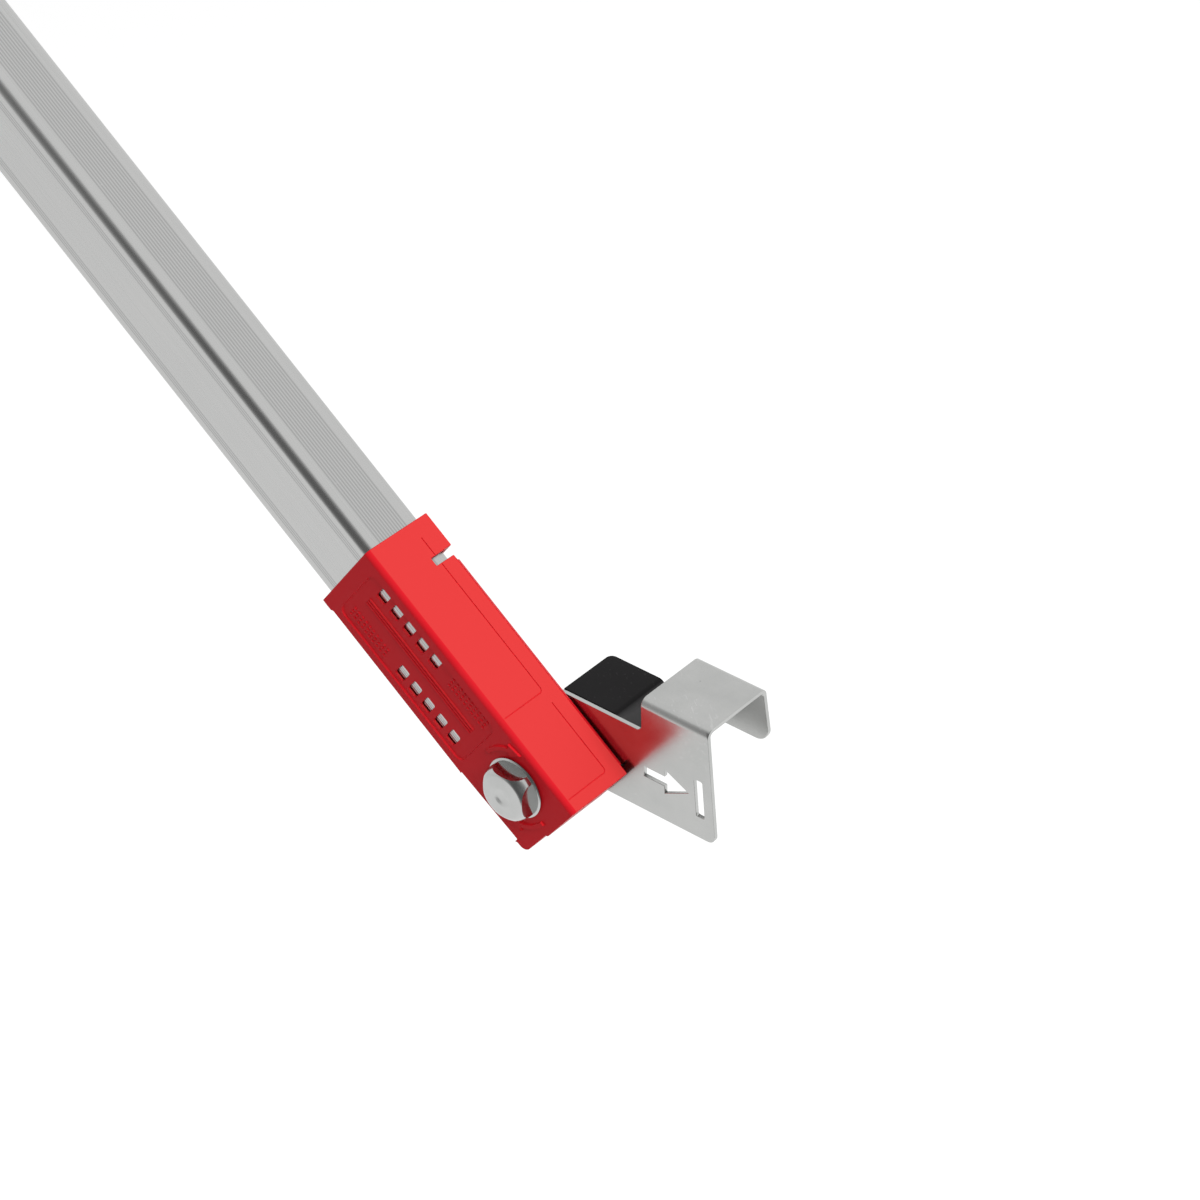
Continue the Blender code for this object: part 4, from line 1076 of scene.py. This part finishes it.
def turn_arrow(head_deg, tail_deg):
    """A raised arrow along an arc about the bolt, to show which way it turns."""
    middle = TURN_ARROW_RADIUS
    half = TURN_ARROW_WIDTH / 2
    hand = math.copysign(1.0, tail_deg - head_deg)
    neck = head_deg + hand * math.degrees(2 * TURN_ARROW_HEAD / middle)
    outline = arc(0.0, 0.0, middle + half, tail_deg, neck, 2 * CORNER_STEPS)
    barbs = ((middle + TURN_ARROW_HEAD, neck), (middle, head_deg), (middle - TURN_ARROW_HEAD, neck))
    for radius, angle in barbs:
        outline += arc(0.0, 0.0, radius, angle, angle, 1)[:1]
    outline += arc(0.0, 0.0, middle - half, neck, tail_deg, 2 * CORNER_STEPS)
    levels = ((SLEEVE_FRONT_WALL / 2, 0.0), (0.0, 0.0), (-TURN_ARROW_RISE, TURN_ARROW_RISE / 4))
    return moved(loft(levelled(outline, levels)), (0.0, 0.0, PIVOT_OFFSET))


def sleeve():
    """The moulded sleeve with everything that is formed in it."""
    made = sleeve_shell()
    shape(made, sunk_panel())
    shape(made, panel_ribs(), "UNION")
    for row in (-1, 1):
        shape(made, panel_windows(row))
    hole = bore(BORE_RADIUS, -OVERCUT, SLEEVE_FRONT_WALL + OVERCUT)
    shape(made, moved(hole, (0.0, 0.0, PIVOT_OFFSET)))
    for line in (LONG_SCORE, SHORT_SCORE):
        shape(made, score_line(*line))
    for arrow in TURN_ARROWS:
        shape(made, turn_arrow(*arrow), "UNION")
    shade(made)
    made.data.transform(Matrix.Translation((0.0, 0.0, -PIVOT_OFFSET)))
    place_pair(made, *ON_STRUT, "red_plastic", "sleeve_moulding", "sleeve")


def grip_dots():
    """Two small fields of moulded dots in the panel, beside the rows of openings."""
    foot = PANEL_DEPTH + DOT_RADIUS / 2
    profile = [(0.0, foot), (DOT_RADIUS, foot)]
    for cosine, sine in quarter(DOT_RISE_STEPS)[:-1]:
        profile.append((DOT_RADIUS * cosine, PANEL_DEPTH - DOT_RISE * sine))
    profile.append((0.0, PANEL_DEPTH - DOT_RISE))
    for number, row in enumerate((-1, 1)):
        place = (PANEL_MIDDLE + row * DOT_ROW_SHIFT, 0.0, row * DOT_OFFSET - PIVOT_OFFSET)
        dots = repeated("dots", turned(profile, DOT_STEPS), DOT_COLUMNS, DOT_ROWS, DOT_PITCH, place)
        place_pair(shade(dots), *ON_STRUT, "red_plastic", f"grip_dots_{number + 1}")


# Bolt, nut and rings

def pivot_bolt():
    """The flanged bolt: a turned blank with a domed head, four flats on it, and a thread at its end."""
    corner_radius = HEAD_DIAMETER / 2
    under = -SEAT_GAP
    rim = under - BOLT_FLANGE_RIM
    root = rim - BOLT_FLANGE_RISE
    shoulder = root - HEAD_CORNER_HEIGHT
    dome = HEAD_DOME_HEIGHT - HEAD_CROWN
    top = shoulder - HEAD_DOME_HEIGHT
    flat_top = HEAD_TOP_DIAMETER / 2
    dimple = HEAD_DIMPLE_DIAMETER / 2
    flange = BOLT_FLANGE_DIAMETER / 2
    core = BOLT_RADIUS - THREAD_DEPTH
    thread_start = BOLT_END - THREAD_LENGTH
    profile = [(0.0, BOLT_END), (BOLT_RADIUS - BOLT_POINT_CHAMFER, BOLT_END)]
    profile += [(core, BOLT_END - BOLT_POINT_CHAMFER + THREAD_DEPTH), (core, thread_start)]
    profile += [(BOLT_RADIUS, thread_start - THREAD_DEPTH), (BOLT_RADIUS, under)]
    profile += [(flange - RING_ROUND, under), (flange, under - RING_ROUND), (flange, rim + RING_ROUND)]
    profile += [(flange - RING_ROUND, rim), (corner_radius, root)]
    for cosine, sine in quarter(DOME_STEPS):
        profile.append((flat_top + (corner_radius - flat_top) * cosine, shoulder - dome * sine))
    for step in range(1, CROWN_STEPS + 1):
        radius = flat_top + (dimple - flat_top) * step / CROWN_STEPS
        profile.append((radius, top + HEAD_CROWN * (radius - dimple) / (flat_top - dimple)))
    profile += [(dimple - HEAD_DIMPLE_WALL, top + HEAD_DIMPLE_DEPTH), (0.0, top + HEAD_DIMPLE_DEPTH)]
    bolt = new_object("bolt", turned(profile))
    shape(bolt, flats_ring(4, HEAD_ACROSS_FLATS, 2 * BOLT_FLANGE_DIAMETER, top - OVERCUT, root))
    place_pair(shade(bolt), *ON_BOLT, "bright_zinc", "pivot_bolt_forging", "pivot_bolt")

    turns = (THREAD_LENGTH - 2 * THREAD_PITCH) / THREAD_PITCH
    sizes = {"Radius": core, "Ridge": THREAD_DEPTH, "Pitch": THREAD_PITCH, "Turns": turns}
    thread = grow("thread", THREAD, sizes)
    to_axis = Matrix.Translation((0.0, BOLT_END - THREAD_PITCH, 0.0)) @ Matrix.Rotation(math.pi / 2, 4, "X")
    thread.data.transform(to_axis)
    place_pair(shade(thread), *ON_BOLT, "bright_zinc", "bolt_thread")


def ring(stem, form, outer, front, back, finish_name, placed):
    """A turned ring with rounded edges round the bolt, at both ends."""
    edge = RING_ROUND
    inner = BORE_RADIUS
    profile = [(inner, front + edge), (inner + edge, front), (outer - edge, front), (outer, front + edge)]
    profile += [(outer, back - edge), (outer - edge, back), (inner + edge, back), (inner, back - edge)]
    made = shade(new_object(stem, turned(profile)))
    place_pair(made, *placed, finish_name, f"{stem}_{form}", stem)


def rings():
    """Spacer bush, thrust washer, pivot bush, nut washer and the nut's insert."""
    inside = TUBE_WALL + SEAT_GAP
    outer = BORE_RADIUS + SPACER_WALL
    ring("spacer_bush", "turning", outer, TUBE_FRONT + inside, TUBE_BACK - inside, "bright_zinc", ON_STRUT)
    outer = TUBE_WIDTH / 2 - PIVOT_OFFSET - THRUST_WASHER_MARGIN
    back = THRUST_FRONT + THRUST_WASHER_THICKNESS
    ring("thrust_washer", "disc", outer, THRUST_FRONT, back, "white_nylon", ON_STRUT)
    ring("pivot_bush", "turning", PIVOT_BUSH_RADIUS, PLATE_FRONT, WEB_BACK, "white_nylon", ON_HOOK)
    back = NUT_WASHER_FRONT + NUT_WASHER_THICKNESS
    ring("nut_washer", "disc", NUT_WASHER_DIAMETER / 2, NUT_WASHER_FRONT, back, "bright_zinc", ON_HOOK)
    front = NUT_COLLAR_FRONT + SEAT_GAP
    back = NUT_BACK - NUT_LIP_THICKNESS - SEAT_GAP
    ring("nut_insert", "ring", BORE_RADIUS + INSERT_WALL, front, back, "white_nylon", ON_HOOK)


def lock_nut():
    """The self-locking nut, chamfered, with its lip turned in over the insert."""
    corner_radius = NUT_ACROSS_FLATS / 2 / math.cos(math.pi / 6)
    chamfer = corner_radius - NUT_ACROSS_FLATS / 2
    seat = BORE_RADIUS + INSERT_WALL + SEAT_GAP
    collar = seat + NUT_COLLAR_WALL
    lip = NUT_BACK - NUT_LIP_THICKNESS
    profile = [(BORE_RADIUS, NUT_FRONT), (corner_radius - chamfer, NUT_FRONT)]
    profile += [(corner_radius, NUT_FRONT + chamfer / 2), (corner_radius, NUT_COLLAR_FRONT - chamfer / 2)]
    profile += [(corner_radius - chamfer, NUT_COLLAR_FRONT), (collar, NUT_COLLAR_FRONT)]
    for cosine, sine in quarter(ROUND_STEPS):
        profile.append((seat + NUT_COLLAR_WALL * cosine, lip + NUT_LIP_THICKNESS * sine))
    profile += [(seat - INSERT_LIP, NUT_BACK), (seat - INSERT_LIP, lip)]
    profile += [(seat, lip), (seat, NUT_COLLAR_FRONT)]
    profile += [(BORE_RADIUS, NUT_COLLAR_FRONT)]
    nut = new_object("nut", turned(profile))
    shape(nut, flats_ring(6, NUT_ACROSS_FLATS, 2 * NUT_ACROSS_FLATS, NUT_FRONT - OVERCUT, NUT_BACK + OVERCUT))
    place_pair(shade(nut), *ON_HOOK, "bright_zinc", "lock_nut_forging", "lock_nut")


# Hook bracket

def plate_outline():
    """The front plate from the bridge's far corner, round its edges, to the bridge's near corner."""
    outline = [(BRIDGE_END, FIRST_BEND)]
    corner = (BRIDGE_END + PLATE_FLARE - PLATE_FRONT_CORNER, PLATE_FRONT_CORNER - PLATE_BELOW)
    outline += arc(*corner, PLATE_FRONT_CORNER, math.degrees(math.atan(PLATE_LEAN)), -90)
    low_corner = (PLATE_LOW_CORNER - PLATE_BEHIND, PLATE_LOW_CORNER - PLATE_BELOW)
    top_corner = (PLATE_TOP_CORNER - PLATE_BEHIND, PLATE_ABOVE - PLATE_TOP_CORNER)
    outline += arc(*low_corner, PLATE_LOW_CORNER, -90, -180)
    outline += arc(*top_corner, PLATE_TOP_CORNER, 180, 90, 2 * CORNER_STEPS)
    outline += arc(BRIDGE_START - STEP_FILLET, PLATE_ABOVE + STEP_FILLET, STEP_FILLET, -90, 0)
    outline += [(BRIDGE_START, FIRST_BEND)]
    return outline


def flange_outline():
    """The back flange as it lies in the blank, from the bridge's near corner to its far corner."""
    low = FLANGE_FLAT + BEND_HEIGHT - BRIDGE_HEIGHT + FLANGE_DROP - FLANGE_CORNER
    outline = [(BRIDGE_START, FLANGE_FLAT)]
    outline += arc(BRIDGE_START + FLANGE_CORNER, low, FLANGE_CORNER, 180, 90)
    outline += arc(BRIDGE_END + FLANGE_FLARE - FLANGE_CORNER, low, FLANGE_CORNER, 90, 0)
    outline += [(BRIDGE_END, FLANGE_FLAT)]
    return outline


def slot_edge(height):
    """How far out the slot's outer edge is at a height; it runs parallel to the plate's leaning edge."""
    return BRIDGE_END + PLATE_LEAN * (BEND_HEIGHT - height) - SLOT_FROM_EDGE


def punched_slot():
    """The slot near the plate's leaning edge."""
    upright = round_rectangle(-SLOT_WIDTH, 0.0, SLOT_BOTTOM, SLOT_TOP, SLOT_CORNER)
    return [(slot_edge(z) + x, z) for x, z in upright]


def punched_arrow():
    """The arrow that points along the hook."""
    tip = slot_edge(ARROW_HEIGHT) - SLOT_WIDTH - ARROW_TO_SLOT
    neck = tip - ARROW_HEAD_LENGTH
    start = neck - ARROW_SHAFT_LENGTH
    arrow = [(start, -ARROW_SHAFT_HALF), (neck, -ARROW_SHAFT_HALF), (neck, -ARROW_HEAD_HALF), (tip, 0.0)]
    arrow += [(neck, ARROW_HEAD_HALF), (neck, ARROW_SHAFT_HALF), (start, ARROW_SHAFT_HALF)]
    return [(x, ARROW_HEIGHT + z) for x, z in arrow]


def fold(x, run, deep):
    """Where a point of the flat blank lies once the sheet is bent; deep is measured from its outer skin."""
    radius = BEND_OUTER - deep
    if run <= FIRST_BEND:
        return (x, PLATE_FRONT + deep, run)
    if run < BRIDGE_FLAT:
        angle = math.pi / 2 * (run - FIRST_BEND) / BEND_RUN
        depth = PLATE_FRONT + BEND_OUTER - radius * math.cos(angle)
        return (x, depth, BEND_HEIGHT + radius * math.sin(angle))
    if run <= SECOND_BEND:
        return (x, PLATE_FRONT + BEND_OUTER + run - BRIDGE_FLAT, BEND_HEIGHT + radius)
    if run < FLANGE_FLAT:
        angle = math.pi / 2 * (run - SECOND_BEND) / BEND_RUN
        depth = FLANGE_BACK - BEND_OUTER + radius * math.sin(angle)
        return (x, depth, BEND_HEIGHT + radius * math.cos(angle))
    return (x, FLANGE_BACK - deep, BEND_HEIGHT - (run - FLANGE_FLAT))


def hook_bracket():
    """The pressed hook: a blank with broken edges and punched holes, folded over two bends."""
    bm = bmesh.new()
    skins = ([], [])
    hole = arc(0.0, 0.0, BUSH_HOLE_RADIUS, 0.0, 360.0 - 360.0 / TURN_STEPS, TURN_STEPS - 1)
    outlines = [(plate_outline() + flange_outline(), 1.0)]
    outlines += [(outline, -1.0) for outline in (hole, punched_slot(), punched_arrow())]
    levels = [(SHEET_EDGE * (1 - sine), SHEET_EDGE * (1 - cosine)) for cosine, sine in quarter(ROUND_STEPS)]
    levels += [(inwards, SHEET - deep) for inwards, deep in levels[::-1]]
    for outline, side in outlines:
        loops = []
        for inwards, deep in levels:
            loops.append([bm.verts.new((x, z, deep)) for x, z in inset(outline, side * inwards)])
        for near, far in zip(loops, loops[1:]):
            join_loops(bm, near, far)
        for skin, loop in zip(skins, (loops[0], loops[-1])):
            skin += [bm.edges.get((loop[here - 1], loop[here])) for here in range(len(loop))]
    for skin in skins:
        bmesh.ops.triangle_fill(bm, edges=skin, use_beauty=True, normal=(0.0, 0.0, 1.0))
    for start in (FIRST_BEND, SECOND_BEND):
        for step in range(BEND_STEPS + 1):
            cut = (0.0, start + BEND_RUN * step / BEND_STEPS, 0.0)
            parts = bm.verts[:] + bm.edges[:] + bm.faces[:]
            bmesh.ops.bisect_plane(bm, geom=parts, dist=MERGE, plane_co=cut, plane_no=(0.0, 1.0, 0.0))
    for vert in bm.verts:
        vert.co = fold(*vert.co)
    bracket = shade(new_object("bracket", bm))
    place_pair(bracket, *ON_HOOK, "zinc_sheet", "hook_bracket_pressing", "hook_bracket")


# Nut shroud

def shroud_shell():
    """Web, shelf and cheek of the shroud, with rounded edges."""
    low = WEB_MARGIN - PLATE_BELOW
    behind = WEB_MARGIN - PLATE_BEHIND
    outer_center = (SHROUD_REACH - SHROUD_EDGE_ROUND, PLATE_ABOVE - SHROUD_EDGE_ROUND)
    outline = arc(*outer_center, SHROUD_EDGE_ROUND, 90, 0)
    outline += [(SHROUD_REACH, low)]
    corner = PLATE_LOW_CORNER - WEB_MARGIN
    outline += arc(behind + corner, low + corner, corner, -90, -180)
    outline += [(behind, WEB_SHOULDER + behind + SHELF_BEHIND), (-SHELF_BEHIND, WEB_SHOULDER)]
    outline += [(-SHELF_BEHIND, PLATE_ABOVE)]
    shell = new_object("shroud", prism(outline, WEB_FRONT, SHROUD_BACK))

    inside = arc(*outer_center, SHROUD_EDGE_ROUND - SHROUD_WALL, 90, 0)
    inside += [(SHROUD_REACH - SHROUD_WALL, low - OVERCUT), (behind - OVERCUT, low - OVERCUT)]
    inside += [(behind - OVERCUT, PLATE_ABOVE - SHROUD_WALL)]
    shape(shell, prism(inside, WEB_BACK, SHROUD_BACK + OVERCUT))

    foot = WEB_BACK + CHEEK_FOOT_DEPTH
    shelf_low = PLATE_ABOVE - SHROUD_EDGE_ROUND
    past_back = SHROUD_BACK + OVERCUT
    past_behind = -SHELF_BEHIND - OVERCUT
    side_view = [(foot, low - OVERCUT), (foot, -CHEEK_BELOW), (SHROUD_BACK, shelf_low)]
    side_view += [(past_back, shelf_low), (past_back, low - OVERCUT)]
    shape(shell, side_prism(side_view, past_behind, SHROUD_REACH + OVERCUT))

    center = (SHELF_CORNER - SHELF_BEHIND, SHROUD_BACK - SHELF_CORNER)
    corner_cut = arc(*center, SHELF_CORNER, 180, 90)
    corner_cut += [(center[0], past_back), (past_behind, past_back), (past_behind, center[1])]
    levels = (PLATE_ABOVE - SHROUD_WALL - OVERCUT, PLATE_ABOVE + OVERCUT)
    shape(shell, loft([[(x, depth, z) for x, depth in corner_cut] for z in levels]))
    break_edges(shell, SHROUD_EDGE_BREAK, ROUND_STEPS)
    return shell


def nut_shroud():
    """The moulded shroud: its shell, the six-sided pocket that holds the nut, and the bush's hole."""
    made = shroud_shell()
    pocket_flats = NUT_ACROSS_FLATS + 2 * PIVOT_PLAY
    wall_flats = pocket_flats + 2 * POCKET_WALL
    web_middle = WEB_BACK - WEB_THICKNESS / 2
    shape(made, flats_ring(6, pocket_flats, wall_flats, web_middle, WEB_BACK + POCKET_HEIGHT), "UNION")
    shape(made, bore(BUSH_HOLE_RADIUS, WEB_FRONT - OVERCUT, WEB_BACK + OVERCUT))
    place_pair(shade(made), *ON_HOOK, "black_plastic", "nut_shroud_moulding", "nut_shroud")


# Studio

CAMERA_PLACE = (0.51613, -0.64348, 0.63545)
CAMERA_RIGHT = (0.7652, 0.6434, -0.0213)
CAMERA_UP = (-0.3643, 0.4601, 0.8097)
CAMERA_BACK = (0.5308, -0.6119, 0.5864)
CAMERA_LENS = 99.39
CAMERA_SENSOR = 36.0
FLOOR_HEIGHT = -0.75
FLOOR_SIZE = 14.0
FLOOR_TONE = 0.55
FLOOR_GLOW = 0.74  # what the eye sees of the floor besides its own shade
AMBIENT = 0.33
FLAG_TOWARDS = (0.466, -0.828, 0.31)
FLAG_DISTANCE = 0.68
FLAG_SIZE = 4.2
FLAG_TONE = 0.15
FLAG_FADE = (0.5, 2.0)  # from its middle, where it starts and ends to thin out
KEY_TOWARDS = (0.62, -0.08, 0.78)
KEY_DISTANCE = 2.4
KEY_SIZE = 1.5
KEY_POWER = 48.0
GLINT_TOWARDS = (0.79, -0.43, 0.44)
GLINT_SIZE = 0.7
GLINT_POWER = 4.0


def seen_rays(tree):
    """1 for rays from the eye, from mirrors or through glass, else 0."""
    path = node(tree, "ShaderNodeLightPath")
    seen = path.out("Is Camera Ray").calc("MAXIMUM", path.out("Is Transmission Ray"))
    return seen.calc("MAXIMUM", path.out("Is Glossy Ray"))


def stage_plane(name, size, place, paint_name):
    """A square of the stage in its own X and Y, and the empty tree of its material."""
    bm = bmesh.new()
    bmesh.ops.create_grid(bm, x_segments=1, y_segments=1, size=size / 2)
    made = new_object(name, bm)
    made.matrix_world = place
    paint = bpy.data.materials.new(paint_name)
    paint.use_nodes = True
    paint.node_tree.nodes.clear()
    made.data.materials.append(paint)
    return made, paint.node_tree


def facing(direction, distance):
    """A place that far from the lower pivot along a direction, with -Z towards the pivot."""
    towards = Vector(direction).normalized()
    turn = towards.to_track_quat("Z", "Y").to_matrix().to_4x4()
    return Matrix.Translation(LOWER_PIVOT + towards * distance) @ turn


def studio_world():
    """A plain surround: white to the eye and in mirrors, dimmer as a light."""
    world = bpy.data.worlds.new("studio")
    bpy.context.scene.world = world
    world.use_nodes = True
    tree = world.node_tree
    tree.nodes.clear()
    strength = span(seen_rays(tree), 0.0, 1.0, AMBIENT, 1.0)
    surround = node(tree, "ShaderNodeBackground", {"Color": (1.0, 1.0, 1.0, 1.0), "Strength": strength})
    node(tree, "ShaderNodeOutputWorld", {"Surface": surround})


def studio_floor():
    """A pale floor well below the strut, which keeps its shade under a glow that doesn't light the strut."""
    place = Matrix.Translation((0.0, 0.0, FLOOR_HEIGHT))
    _, tree = stage_plane("floor", FLOOR_SIZE, place, "pale_floor")
    shaded = node(tree, "ShaderNodeBsdfDiffuse", {"Color": (FLOOR_TONE, FLOOR_TONE, FLOOR_TONE, 1.0)})
    glow = node(tree, "ShaderNodeEmission", {"Strength": seen_rays(tree) * FLOOR_GLOW})
    bright = node(tree, "ShaderNodeAddShader", {0: shaded, 1: glow})
    node(tree, "ShaderNodeOutputMaterial", {"Surface": bright})


def studio_flag():
    """A dim sheet with thin edges near the eye, seen only in mirrors: a painted dark reflection for the metal.
    """
    flag, tree = stage_plane("flag", FLAG_SIZE, facing(FLAG_TOWARDS, FLAG_DISTANCE), "painted_dark_reflection")
    flag.visible_camera = False
    flag.visible_diffuse = False
    flag.visible_shadow = False
    place = node(tree, "ShaderNodeTexCoord").out("Object")
    away = node(tree, "ShaderNodeVectorMath", {0: place}, operation="LENGTH").out("Value")
    # Painted reflection: a faint glow that the metal mirrors as the dark room round the eye.
    dark = node(tree, "ShaderNodeEmission", {"Strength": FLAG_TONE})
    clear = node(tree, "ShaderNodeBsdfTransparent")
    mirrored_dark = node(tree, "ShaderNodeMixShader", {0: span(away, *FLAG_FADE), 1: dark, 2: clear})
    node(tree, "ShaderNodeOutputMaterial", {"Surface": mirrored_dark})


def studio_lights():
    """A large soft light above the strut's upper side, and a small one that only polished metal shows."""
    lights = (("softbox", KEY_TOWARDS, KEY_SIZE, KEY_POWER),
              ("glint", GLINT_TOWARDS, GLINT_SIZE, GLINT_POWER))
    for name, towards, size, power in lights:
        lamp = bpy.data.lights.new(name, "AREA")
        lamp.shape = "SQUARE"
        lamp.size = size
        lamp.energy = power
        placed = linked(name, lamp)
        placed.matrix_world = facing(towards, KEY_DISTANCE)
        placed.visible_diffuse = name == "softbox"
        placed.visible_glossy = name == "glint"


def camera():
    """The photograph's view."""
    view = bpy.data.cameras.new("camera")
    view.lens = CAMERA_LENS
    view.sensor_width = CAMERA_SENSOR
    placed = linked("camera", view)
    axes = Matrix((CAMERA_RIGHT, CAMERA_UP, CAMERA_BACK)).transposed()
    placed.matrix_world = Matrix.Translation(CAMERA_PLACE) @ axes.to_4x4()
    bpy.context.scene.camera = placed


arm_tube()
sleeve()
grip_dots()
pivot_bolt()
rings()
lock_nut()
hook_bracket()
nut_shroud()
studio_world()
studio_floor()
studio_flag()
studio_lights()
camera()
bpy.context.scene.view_settings.view_transform = "Standard"
